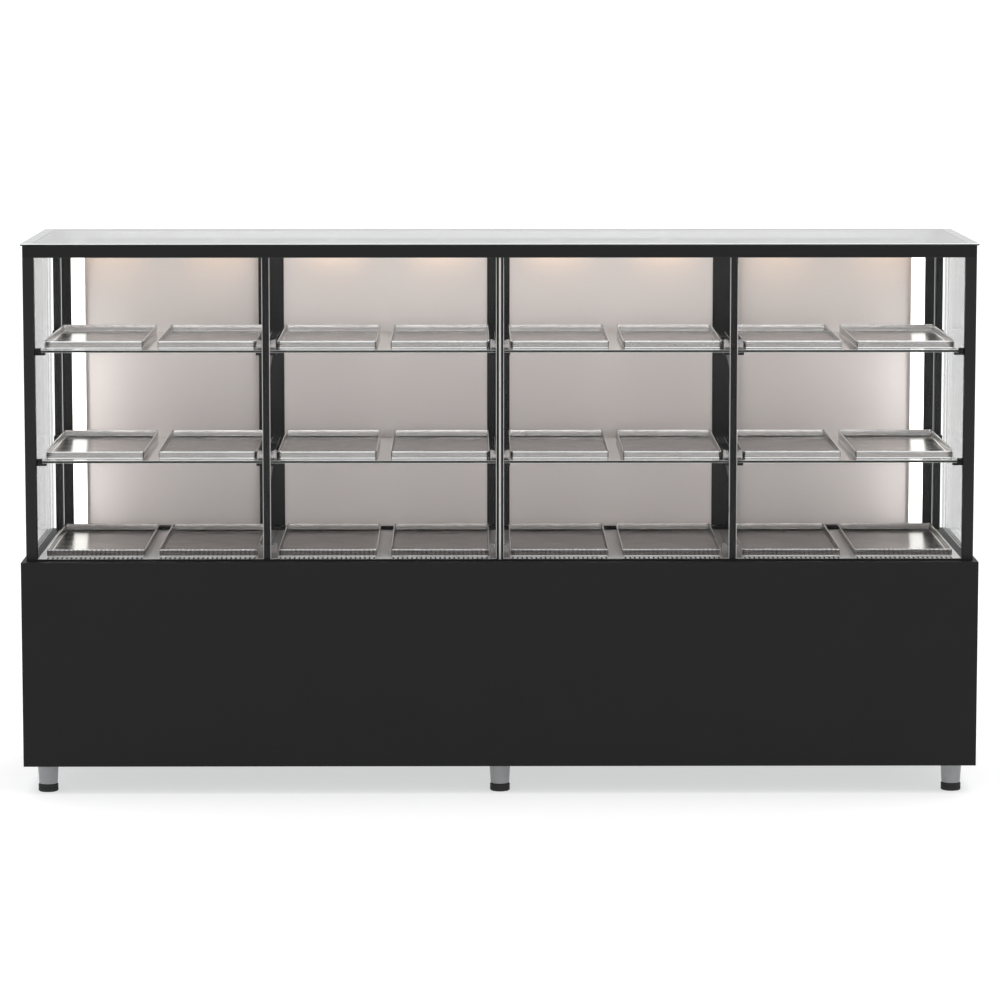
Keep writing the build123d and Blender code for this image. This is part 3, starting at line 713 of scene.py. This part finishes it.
class CASE_OT_stage(bpy.types.Operator):
    """White studio floor, soft light and the camera"""

    bl_idname = "case.stage"
    bl_label = "Studio"

    def execute(self, context):
        scene = context.scene
        look = scene.studio_look
        scene.view_settings.view_transform = "Standard"
        self.add_floor(look)
        self.add_sky(scene, look)
        self.add_key_light(look)
        scene.camera = self.add_camera(look)
        return {"FINISHED"}

    def add_floor(self, look):
        """Seamless lit white floor, far wider than the view, so that shadows on it stay pale."""
        made, tree = new_finish("lit_studio_floor")
        greys = (to_linear("#B8B8B8"), to_linear("#BBBBBB"))
        finish = shaded(
            made,
            Base_Color=blend(tree, pattern(tree, 40), *greys),
            Roughness=0.9,
            Specular_IOR_Level=0.1,
            Emission_Color=white,
            Emission_Strength=look.floor_glow,
        )
        mesh = bmesh.new()
        bmesh.ops.create_grid(mesh, x_segments=8, y_segments=8, size=40)
        floor = add_object("studio_floor", mesh_data("studio_floor", mesh, [finish]))

    def add_sky(self, scene, look):
        """A white surround that is brighter behind the case than in front of it."""
        world = bpy.data.worlds.new("studio_surround")
        scene.world = world
        world.use_nodes = True
        tree = world.node_tree
        tree.nodes.clear()
        place = add_node(tree, "ShaderNodeTexCoord")
        axes = add_node(tree, "ShaderNodeSeparateXYZ", {"Vector": place.outputs["Generated"]})
        # The brightness changes between these two shares of the way from the front to the rear.
        ends = {"Value": axes.outputs["Y"], "From Min": -0.7, "From Max": 0.4}
        ends |= {"To Min": look.sky_front, "To Max": look.sky_rear}
        depth = add_node(tree, "ShaderNodeMapRange", ends, interpolation_type="SMOOTHSTEP")
        lit = add_node(tree, "ShaderNodeBackground", {"Color": white, "Strength": depth.outputs["Result"]})
        seen = add_node(tree, "ShaderNodeBackground", {"Color": white, "Strength": 1.05})
        rays = add_node(tree, "ShaderNodeLightPath")
        shaders = {0: rays.outputs["Is Camera Ray"], 1: lit.outputs[0], 2: seen.outputs[0]}
        both = add_node(tree, "ShaderNodeMixShader", shaders)
        add_node(tree, "ShaderNodeOutputWorld", {"Surface": both.outputs["Shader"]})

    def add_key_light(self, look):
        """One broad soft light overhead."""
        light = bpy.data.lights.new("overhead_softbox", "SUN")
        light.energy = look.key_power
        light.angle = math.radians(70)
        add_object("overhead_softbox", light, turn=(math.radians(-14), math.radians(4), 0))

    def add_camera(self, look):
        """Camera at the photograph's angle."""
        data = bpy.data.cameras.new("camera")
        data.lens = look.camera_lens
        data.sensor_width = 36
        turn = (math.radians(90) - look.camera_pitch, 0, -look.camera_yaw)
        return add_object("camera", data, look.camera_place, turn)


class CASE_OT_plinth(bpy.types.Operator):
    """Powder-coated plinth, its frame, floor pan and screws"""

    bl_idname = "case.plinth"
    bl_label = "Plinth"

    def execute(self, context):
        colours, sizes = context.scene.case_colours, context.scene.case_sizes
        coat = powder_coated_steel(colours)
        dress("plinth_cover", coat, sizes.sheet_round)
        dress("plinth_side_panels", coat, sizes.fine_round)
        dress("plinth_rear_panels", coat, sizes.fine_round)
        dress("plinth_floor_pan", galvanised_steel(colours), sizes.fine_round)
        dress("base_frame", painted_tube(colours))
        screws = bmesh.new()
        head_height = 2.2 * mm
        for low, high in solid_boxes("panel_screws"):
            centre = (low + high) / 2
            seat = high.y - head_height
            spin(screws, screw_shank(seat - low.y), (centre.x, low.y, centre.z), 16, upright=False)
            place = Matrix.Translation((centre.x, seat, centre.z))
            cross_recess_screw(screws, place, (high.x - low.x) / 2, head_height)
        finishes = [zinc_plate(colours)]
        add_piece("screws_cross_head", screws, finishes, "zinc_sheet", stands_for=("panel_screws",))
        return {"FINISHED"}


class CASE_OT_feet(bpy.types.Operator):
    """Tapered levelling feet with threaded stems and grooved rubber pads"""

    bl_idname = "case.feet"
    bl_label = "Feet"

    def execute(self, context):
        colours = context.scene.case_colours
        cups, pads = bmesh.new(), bmesh.new()
        pad_boxes = solid_boxes("foot_pads")
        pad_top = pad_boxes[0][1].z
        for low, high in solid_boxes("foot_cups"):
            spin(cups, self.cup_profile(low.z, high.z, (high.x - low.x) / 2), plan_middle(low, high), 48)
        for low, high in pad_boxes:
            spin(pads, self.pad_profile(pad_top, (high.x - low.x) / 2), plan_middle(low, high), 48)
        add_piece("foot_cups_turned", cups, [moulded_nylon(colours)], "foot_grey", stands_for=("foot_cups",))
        add_piece("foot_pads_grooved", pads, [moulded_rubber(colours)], "rubber", stands_for=("foot_pads",))
        return {"FINISHED"}

    def cup_profile(self, low, high, radius):
        """Cup with a collar at its top, and a threaded stem through the plinth frame."""
        shoulder, bottom = 65 * mm, radius - 3 * mm
        stem, pitch, thread = 6 * mm, 1.75 * mm, 0.9 * mm
        collar, chamfer = 5 * mm, 0.6 * mm
        profile = [(0, low), (bottom - 0.8 * mm, low), (bottom, low + 0.8 * mm)]
        profile += [(radius - chamfer, shoulder - collar), (radius, shoulder - collar + 0.8 * mm)]
        profile += [(radius, shoulder - chamfer), (radius - chamfer, shoulder), (stem, shoulder)]
        for turn in range(int((high - shoulder) / pitch)):
            base = shoulder + pitch * turn
            profile += [(stem, base + 0.5 * pitch), (stem - thread, base + 0.95 * pitch)]
        return profile + [(stem - 1 * mm, high), (0, high)]

    def pad_profile(self, top, radius):
        """Pad with chamfered rims and two shallow grooves round it."""
        chamfer, groove = 2 * mm, radius - 0.7 * mm
        profile = [(0, 0), (radius - chamfer, 0), (radius, chamfer)]
        for middle in (0.42 * top, 0.68 * top):
            profile += [(radius, middle - 1 * mm), (groove, middle - 0.5 * mm)]
            profile += [(groove, middle + 0.5 * mm), (radius, middle + 1 * mm)]
        return profile + [(radius, top - chamfer), (radius - chamfer, top), (0, top)]


class CASE_OT_frame(bpy.types.Operator):
    """Black posts, rails, mullions, sills, door tracks, shelf brackets and clips"""

    bl_idname = "case.frame"
    bl_label = "Frame"

    def execute(self, context):
        colours, sizes = context.scene.case_colours, context.scene.case_sizes
        upright = anodised_profile("anodised_upright", colours, 2)
        level_bar = anodised_profile("anodised_level_bar", colours, 0)
        dress("corner_posts", anodised_profile("anodised_corner", colours, 2, 0.24), sizes.profile_round)
        for node in ("front_mullions", "shelf_clips"):
            dress(node, upright, sizes.profile_round)
        for node in ("glass_sills", "top_rails", "door_tracks", "shelf_brackets"):
            dress(node, level_bar, sizes.profile_round)
        # The deck's slot walls and underside get painted shade.
        deck = brushed_stainless("satin_deck", colours, "satin", 1, (0.44, 0.58), colours.slot_shade)
        dress("deck_panels", deck)
        self.add_gasket(colours, sizes)
        self.add_mullion_lip_highlights(colours, sizes)
        self.add_mullion_clips(colours, sizes)
        return {"FINISHED"}

    def add_gasket(self, colours, sizes):
        """Thin rubber line where the front glass meets the top rail."""
        rail_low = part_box("top_rails")[0].z
        post_low, post_high = solid_boxes("corner_posts")[0]
        near = (post_high.x, post_low.y + 1.2 * mm, rail_low - sizes.gasket)
        mesh = bmesh.new()
        add_block(mesh, near, (-post_high.x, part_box("front_glass")[0].y, rail_low))
        soften(mesh, 0.4 * mm)
        add_piece("glazing_gasket", mesh, [moulded_rubber(colours)], "black_frame")

    def add_mullion_lip_highlights(self, colours, sizes):
        """Clear lips at both sides of each mullion, pressed against the front glass. Their pale silicone also
        paints the highlight lines along the mullion's edges.
        """
        lip_depth = 3.5 * mm
        mesh = bmesh.new()
        for low, high in solid_boxes("front_mullions"):
            for near, far in ((low.x - sizes.lip_width, low.x), (high.x, high.x + sizes.lip_width)):
                lip = add_block(mesh, (near, low.y, low.z), (far, low.y + lip_depth, high.z))
                soften(mesh, 0.5 * mm, lip)
        add_piece("mullion_lip_highlights", mesh, [cured_silicone(colours)], "clear_silicone")

    def add_mullion_clips(self, colours, sizes):
        """Bent steel clips that hold each mullion to the deck and to both shelves."""
        levels = [(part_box("deck_panels")[1].z, sizes.deck_clip)]
        levels += [(top, sizes.shelf_clip) for top in shelf_tops()]
        screw_radius, screw_height, screw_apart, screw_drop = 2.8 * mm, 1.3 * mm, 12 * mm, 7 * mm
        about = Matrix.Rotation(math.pi, 4, "Z")
        mesh, screws = bmesh.new(), bmesh.new()
        for low, high in solid_boxes("front_mullions"):
            for floor, height in levels:
                place = Matrix.Translation(((low.x + high.x) / 2, high.y, floor))
                # Clips on the deck take the darker steel, as painted shade.
                join_part(mesh, self.clip_mesh(sizes, height), place, int(height == sizes.deck_clip))
                for side in (-1, 1):
                    seat = Matrix.Translation((side * screw_apart, 0, height - screw_drop))
                    cross_recess_screw(screws, place @ seat @ about, screw_radius, screw_height)
        steel = brushed_stainless("brushed_clip", colours, "steel", 2, (0.22, 0.34))
        worn = brushed_stainless("shade_painted_clip", colours, "worn", 2, (0.3, 0.42))
        add_piece("mullion_clips", mesh, [steel, worn], "stainless")
        add_piece("mullion_clip_screws", screws, [zinc_plate(colours)], "zinc_sheet")

    def clip_mesh(self, sizes, height):
        """Upright plate with raised ears and a foot, bent from one sheet."""
        reach, sheet, foot = sizes.clip_reach, sizes.clip_sheet, sizes.clip_foot
        ear, dip = 4 * mm, height - 3 * mm
        outline = [(-reach, 0), (reach, 0), (reach, height), (reach - ear, height), (reach * 0.4, dip)]
        outline += [(-reach * 0.4, dip), (ear - reach, height), (-reach, height)]
        clip = bmesh.new()
        face = clip.faces.new([clip.verts.new((x, 0, z)) for x, z in outline])
        grown = bmesh.ops.extrude_face_region(clip, geom=[face])
        moved = [item for item in grown["geom"] if isinstance(item, bmesh.types.BMVert)]
        bmesh.ops.translate(clip, verts=moved, vec=(0, sheet, 0))
        add_block(clip, (-reach, sheet, 0), (reach, foot, sheet))
        bmesh.ops.recalc_face_normals(clip, faces=clip.faces)
        soften(clip, 0.35 * mm)
        return clip


class CASE_OT_glass(bpy.types.Operator):
    """Glass panes and shelves with ground edges, and the enamelled top"""

    bl_idname = "case.glass"
    bl_label = "Glass"

    def execute(self, context):
        colours, sizes = context.scene.case_colours, context.scene.case_sizes
        # The front panes are coated against reflections, and mirror as little as a medium of this low index.
        coated = float_glass("float_glass_coated", 1.1, tint="#FFFFFF")
        # The side panes are seen nearly edge on, where bare glass would mirror more than the coated panes do.
        side = float_glass("float_glass_side", body_share=0.55)
        sheet = float_glass("float_glass")
        edge, arris = polished_glass_edge(colours), ground_glass_arris(colours)
        panes = (
            ("front_glass", coated, sizes.glass_arris),
            ("side_glass", side, sizes.glass_arris),
            ("glass_shelves", sheet, sizes.shelf_arris),
        )
        for node, face, chamfer in panes:
            mesh = glass_mesh(solid_boxes(node), chamfer)
            add_piece(node + "_ground", mesh, [face, edge, arris], "clear_glass", stands_for=(node,))
        mesh = glass_mesh(solid_boxes("top_glass"), sizes.top_arris)
        for face in mesh.faces:
            # Only the arris along the upper front edge keeps its light frosted finish, which paints the
            # highlight there; the other arrises take the dark edge finish, as painted shade.
            if face.material_index == on_arris and (face.normal.z < 0 or face.normal.y > -0.5):
                face.material_index = on_edge
        self.add_border(mesh, sizes)
        shades = {"": colours.enamel, "_line": colours.enamel_line, "_rear": colours.enamel_rear_shade}
        enamels = [fired_enamel("fired_enamel" + ending, shade) for ending, shade in shades.items()]
        finishes = [sheet, edge, arris, *enamels]
        add_piece("top_glass_enamelled", mesh, finishes, "clear_glass", stands_for=("top_glass",))
        dress("joint_seal", cured_silicone(colours))
        return {"FINISHED"}

    def add_border(self, mesh, sizes):
        """Marks out the enamel border on the upper face of the top glass."""
        low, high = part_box("top_glass")
        side, rear, line = sizes.border_side, sizes.border_rear_shade, sizes.border_line
        cuts = []
        for reach in (low.x + line, low.x + side - line, low.x + side):
            cuts += [((reach, 0, 0), (1, 0, 0)), ((-reach, 0, 0), (1, 0, 0))]
        cuts += [((0, high.y - rear, 0), (0, 1, 0)), ((0, high.y - line, 0), (0, 1, 0))]
        for place, normal in cuts:
            upper = [face for face in mesh.faces if face.normal.z > facing]
            edges = {edge for face in upper for edge in face.edges}
            verts = {vert for face in upper for vert in face.verts}
            parts = [*verts, *edges, *upper]
            bmesh.ops.bisect_plane(mesh, geom=parts, plane_co=place, plane_no=normal, dist=same_point)
        for face in mesh.faces:
            if face.normal.z < facing:
                continue
            middle = face.calc_center_median()
            from_side = high.x - abs(middle.x)
            from_rear = high.y - middle.y
            if from_side < line or side - line < from_side < side or from_rear < line:
                face.material_index = on_line
            elif from_side < side:
                face.material_index = on_enamel
            # The band along the rear takes the darker enamel, as painted shade.
            elif from_rear < rear:
                face.material_index = on_rear_shade


class CASE_OT_trays(bpy.types.Operator):
    """Pressed stainless trays with rolled rims, eight on each level"""

    bl_idname = "case.trays"
    bl_label = "Trays"

    def execute(self, context):
        colours, sizes = context.scene.case_colours, context.scene.case_sizes
        bright = brushed_stainless("brushed_tray", colours, "steel", 0, (0.2, 0.29))
        # The second, darker steel is painted shade, for the lower level of trays.
        worn = brushed_stainless("shade_painted_tray", colours, "worn", 0, (0.2, 0.29))
        # Brighter steel for the rims and lower edges: partly polish, partly painted highlight lines.
        rim = brushed_stainless("polished_highlight_tray_rim", colours, "satin", 0, (0.1, 0.16))
        for level_name in tray_levels:
            sheet = worn if level_name == "lower" else bright
            shared = None
            for column in tray_columns:
                node = f"tray_{level_name}_{column}"
                low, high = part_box(node)
                mesh = shared or tray_mesh(high - low, sizes)
                tied = {"rides": node, "stands_for": (node,), "place": plan_middle(low, high, low.z)}
                shared = add_piece(f"{node}_pressed", mesh, [sheet, rim], "stainless", **tied).data
        return {"FINISHED"}


class CASE_OT_doors(bpy.types.Operator):
    """Opal sliding doors with black stiles and lined finger pulls"""

    bl_idname = "case.doors"
    bl_label = "Doors"

    def execute(self, context):
        colours, sizes = context.scene.case_colours, context.scene.case_sizes
        opal = opal_acrylic(colours)
        stile = anodised_profile("anodised_stile", colours, 2, 0.26)
        liner = anodised_aluminium(colours)
        for number in doors:
            dress(f"door_{number}_panel", opal, sizes.fine_round)
            dress(f"door_{number}_stiles", stile, sizes.profile_round)
            self.add_pull_liner(number, liner)
        return {"FINISHED"}

    def add_pull_liner(self, number, liner):
        """Bright liner in the finger pull of a door's end stile."""
        node = frame["nodes"][f"door_{number}_stiles"]
        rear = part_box(node.name)[1].y
        recess = [vert.co for vert in node.data.vertices if 2 * mm < rear - vert.co.y < 4 * mm]
        if not recess:
            raise RuntimeError("the finger pull wasn't found in " + node.name)
        low_x, high_x = min(point.x for point in recess), max(point.x for point in recess)
        low_z, high_z = min(point.z for point in recess), max(point.z for point in recess)
        gap, plate, wall, corner = 0.2 * mm, 0.8 * mm, 1.2 * mm, 3 * mm
        floor = recess[0].y
        mesh = bmesh.new()
        half = ((high_x - low_x) / 2 - gap, (high_z - low_z) / 2 - gap)
        centre = ((low_x + high_x) / 2, floor, (low_z + high_z) / 2)
        near = (centre[0] - half[0], floor, centre[2] - half[1])
        add_block(mesh, near, (centre[0] + half[0], floor + plate, centre[2] + half[1]))
        soften(mesh, 0.3 * mm)
        rear_ring(mesh, centre, (half[0] - wall, half[1] - wall), wall, rear - floor - gap, corner)
        add_piece(f"finger_pull_liner_{number}", mesh, [liner], "aluminium", rides=f"door_{number}")


class CASE_OT_lamps(bpy.types.Operator):
    """Lamp bar, downlights, corner lamps and the light that they give"""

    bl_idname = "case.lamps"
    bl_label = "Lamps"

    def execute(self, context):
        scene = context.scene
        colours, sizes, look = scene.case_colours, scene.case_sizes, scene.studio_look
        metal = anodised_aluminium(colours)
        dress("lamp_bar", metal, sizes.profile_round)
        warm = glowing_lens("warm_lens", colours.warm_light, 4.0)
        opal = glowing_lens("opal_lens", colours.white_light, 1.15)
        self.add_downlights(colours, look, metal, warm)
        self.add_corner_lamps(colours, sizes, look, metal, opal)
        self.add_front_lights(look)
        return {"FINISHED"}

    def add_downlights(self, colours, look, metal, warm):
        """Round lamps with a turned rim and a sunk lens."""
        turn = (math.radians(-8), 0, 0)
        mesh = bmesh.new()
        for low, high in solid_boxes("warm_lamps"):
            centre = plan_middle(low, high)
            radius = (high.x - low.x) / 2
            seat = (radius - 3.5 * mm, low.z + 1.5 * mm)
            rim = [(0, high.z), (radius - 0.5 * mm, high.z), (radius, high.z - 0.5 * mm)]
            rim += [(radius, low.z + 1 * mm), (radius - 1 * mm, low.z), (radius - 2.5 * mm, low.z), seat]
            lens = [seat, (radius * 0.4, low.z + 0.6 * mm), (0, low.z + 0.4 * mm)]
            spin(mesh, rim, centre, 32, 0)
            spin(mesh, lens, centre, 32, 1)
            place = (centre.x, centre.y, low.z - 1 * mm)
            self.add_area("downlight", place, turn, (0.15, 0.02), look.downlight_power, colours.warm_light)
        add_piece("downlights_rimmed", mesh, [metal, warm], "warm_lens", stands_for=("warm_lamps",))

    def add_corner_lamps(self, colours, sizes, look, metal, opal):
        """Upright light strips: a metal channel with a domed opal cover."""
        channel_depth = 3.5 * mm
        mesh = bmesh.new()
        for low, high in solid_boxes("corner_lamps"):
            base, top = low.z + sizes.lamp_foot, high.z - sizes.lamp_head
            back = high.y - channel_depth
            channel = add_block(mesh, (low.x, back, low.z), high)
            soften(mesh, 0.4 * mm, channel)
            for cap_low, cap_high in ((low.z, base), (top, high.z)):
                end = add_block(mesh, (low.x, low.y, cap_low), (high.x, back, cap_high))
                soften(mesh, 0.8 * mm, end)
            self.add_cover(mesh, low, high, back, base, top)
            middle, tall, turn = (low + high) / 2, high.z - low.z, math.radians(90)
            place, size = (middle.x, low.y - 1 * mm, middle.z), (30 * mm, tall * 0.97)
            self.add_area("corner_light", place, (-turn, 0, 0), size, look.corner_power, colours.white_light)
            # The wash stands a little lower, so that it leaves out the doors just below the lamp bar.
            place, size = (middle.x, high.y - look.wash_reach, middle.z - 70 * mm), (20 * mm, tall * 0.78)
            self.add_area("corner_wash", place, (turn, 0, 0), size, look.wash_power, wash_tint)
        add_piece("corner_lamps_covered", mesh, [metal, opal], "opal_lens", stands_for=("corner_lamps",))

    def add_cover(self, mesh, low, high, back, base, top, parts=12, flat=0.45):
        """Opal cover between the end caps: flat sides for a share of its depth, then a gentle dome."""
        half = (high.x - low.x) / 2 - 0.6 * mm
        middle, depth = (low.x + high.x) / 2, back - low.y
        section = [(-half, back)]
        for step in range(parts + 1):
            angle = math.pi * (1 - step / parts)
            bulge = math.sin(angle) ** 0.5 if 0 < step < parts else 0
            section.append((half * math.cos(angle), back - depth * (flat + (1 - flat) * bulge)))
        section.append((half, back))
        lower, upper = (
            [mesh.verts.new((middle + x, y, height)) for x, y in section] for height in (base, top)
        )
        for number in range(len(section) - 1):
            corners = (lower[number], lower[number + 1], upper[number + 1], upper[number])
            mesh.faces.new(corners).material_index = 1

    def add_front_lights(self, look):
        """Neutral light towards the doors, from behind the front rail and from under each shelf level."""
        low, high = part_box("lamp_bar")
        # They stand this far behind the mullions, and as far under the rail and the shelves.
        clear = 12 * mm
        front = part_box("front_mullions")[1].y + clear
        size, turn = ((high.x - low.x) * 0.97, 12 * mm), (math.radians(60), 0, 0)
        heights = [(low.z, look.rail_power), *((top, look.shelf_power) for top in shelf_tops())]
        for height, power in heights:
            place = ((low.x + high.x) / 2, front, height - clear)
            self.add_area("front_light", place, turn, size, power, front_tint, mirrored=True)

    def add_area(self, name, place, turn, size, power, tint, mirrored=False):
        """One flat light inside the case, mirrored in metal or not."""
        light = bpy.data.lights.new(name, "AREA")
        light.shape = "RECTANGLE"
        light.size, light.size_y = size
        light.energy = power
        light.color = tint[:3]
        lamp = add_object(name, light, place, turn)
        lamp.visible_camera = False
        lamp.visible_glossy = mirrored
        lamp.visible_transmission = False


class CASE_OT_power(bpy.types.Operator):
    """Power panel with its rocker switch and mains inlet, and the lamp driver"""

    bl_idname = "case.power"
    bl_label = "Power panel"

    def execute(self, context):
        colours, sizes = context.scene.case_colours, context.scene.case_sizes
        plastic = black_abs(colours)
        dress("power_panel", plastic, sizes.fine_round)
        dress("light_switch", plastic, sizes.fine_round)
        dress("inlet_pins", contact_brass(colours), sizes.fine_round)
        dress("lamp_driver", anodised_aluminium(colours), sizes.profile_round)
        self.add_bezels(colours, plastic)
        self.add_marks()
        return {"FINISHED"}

    def add_bezels(self, colours, plastic):
        """Raised rims round the switch and the inlet, and the four screws of the panel."""
        low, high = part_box("power_panel")
        face, middle_z = high.y, (low.z + high.z) / 2
        openings = (
            ("light_switch", (12 * mm, 14.5 * mm), 3 * mm, 1.4 * mm),
            ("inlet_pins", (13.5 * mm, 9.5 * mm), 3.5 * mm, 1.6 * mm),
        )
        mesh = bmesh.new()
        for node, half, width, depth in openings:
            node_low, node_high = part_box(node)
            centre = ((node_low.x + node_high.x) / 2, face, middle_z)
            rear_ring(mesh, centre, half, width, depth, 1 * mm)
        add_piece("power_bezels", mesh, [plastic], "black_plastic")
        screws, inset = bmesh.new(), 5 * mm
        for x in (low.x + inset, high.x - inset):
            for z in (low.z + inset, high.z - inset):
                cross_recess_screw(screws, Matrix.Translation((x, face, z)), 3 * mm, 1.4 * mm)
        add_piece("power_panel_screws", screws, [zinc_plate(colours)], "zinc_sheet")

    def add_marks(self):
        """Printed line and ring on the two halves of the rocker."""
        joint = next(joint for joint in frame["joints"] if joint["child"] == "light_switch")
        pivot = Vector(joint["pos_m"])
        tilt = Matrix.Rotation(-math.radians(joint["range_deg"][1] / 2), 4, "X")
        # Each half of the rocker falls by 2 mm in 13 mm.
        slope = math.atan2(2, 13)
        thick = 0.06 * mm
        mesh, bar, ring = bmesh.new(), bmesh.new(), bmesh.new()
        add_block(bar, (-0.5 * mm, 0, -2.6 * mm), (0.5 * mm, thick, 2.6 * mm))
        rear_ring(ring, (0, 0, 0), (1.7 * mm, 1.7 * mm), 0.8 * mm, thick, 1.7 * mm)
        for part, side in ((bar, 1), (ring, -1)):
            face = Matrix.Translation((0, 5 * mm, side * 6.5 * mm)) @ Matrix.Rotation(-side * slope, 4, "X")
            join_part(mesh, part, Matrix.Translation(pivot) @ tilt @ face)
        add_piece("rocker_marks", mesh, [printed_mark()], "switch_plastic", rides="light_switch")


steps = (
    CASE_OT_stage,
    CASE_OT_plinth,
    CASE_OT_feet,
    CASE_OT_frame,
    CASE_OT_glass,
    CASE_OT_trays,
    CASE_OT_doors,
    CASE_OT_lamps,
    CASE_OT_power,
)


class CASE_PT_sidebar(bpy.types.Panel):
    """Sidebar panel that lists the steps and the sizes."""

    bl_idname = "CASE_PT_sidebar"
    bl_label = "Display Case"
    bl_space_type = "VIEW_3D"
    bl_region_type = "UI"
    bl_category = "Display Case"

    def draw(self, context):
        for step in steps:
            self.layout.operator(step.bl_idname)
        for group in (context.scene.case_sizes, context.scene.case_colours, context.scene.studio_look):
            column = self.layout.column(align=True)
            for name in group.__annotations__:
                column.prop(group, name)


groups = {"case_colours": CaseColours, "case_sizes": CaseSizes, "studio_look": StudioLook}
classes = (*groups.values(), *steps, CASE_PT_sidebar)


def register():
    """Registers the classes and hangs the properties on the scene."""
    for made in classes:
        bpy.utils.register_class(made)
    for name, group in groups.items():
        setattr(bpy.types.Scene, name, PointerProperty(type=group))


def unregister():
    """Takes the properties and the classes away again."""
    for name in groups:
        delattr(bpy.types.Scene, name)
    for made in reversed(classes):
        bpy.utils.unregister_class(made)


def main():
    """Makes the whole case."""
    register()
    bpy.ops.case.stage()
    bpy.ops.case.plinth()
    bpy.ops.case.feet()
    bpy.ops.case.frame()
    bpy.ops.case.glass()
    bpy.ops.case.trays()
    bpy.ops.case.doors()
    bpy.ops.case.lamps()
    bpy.ops.case.power()


if __name__ == "__main__":
    main()
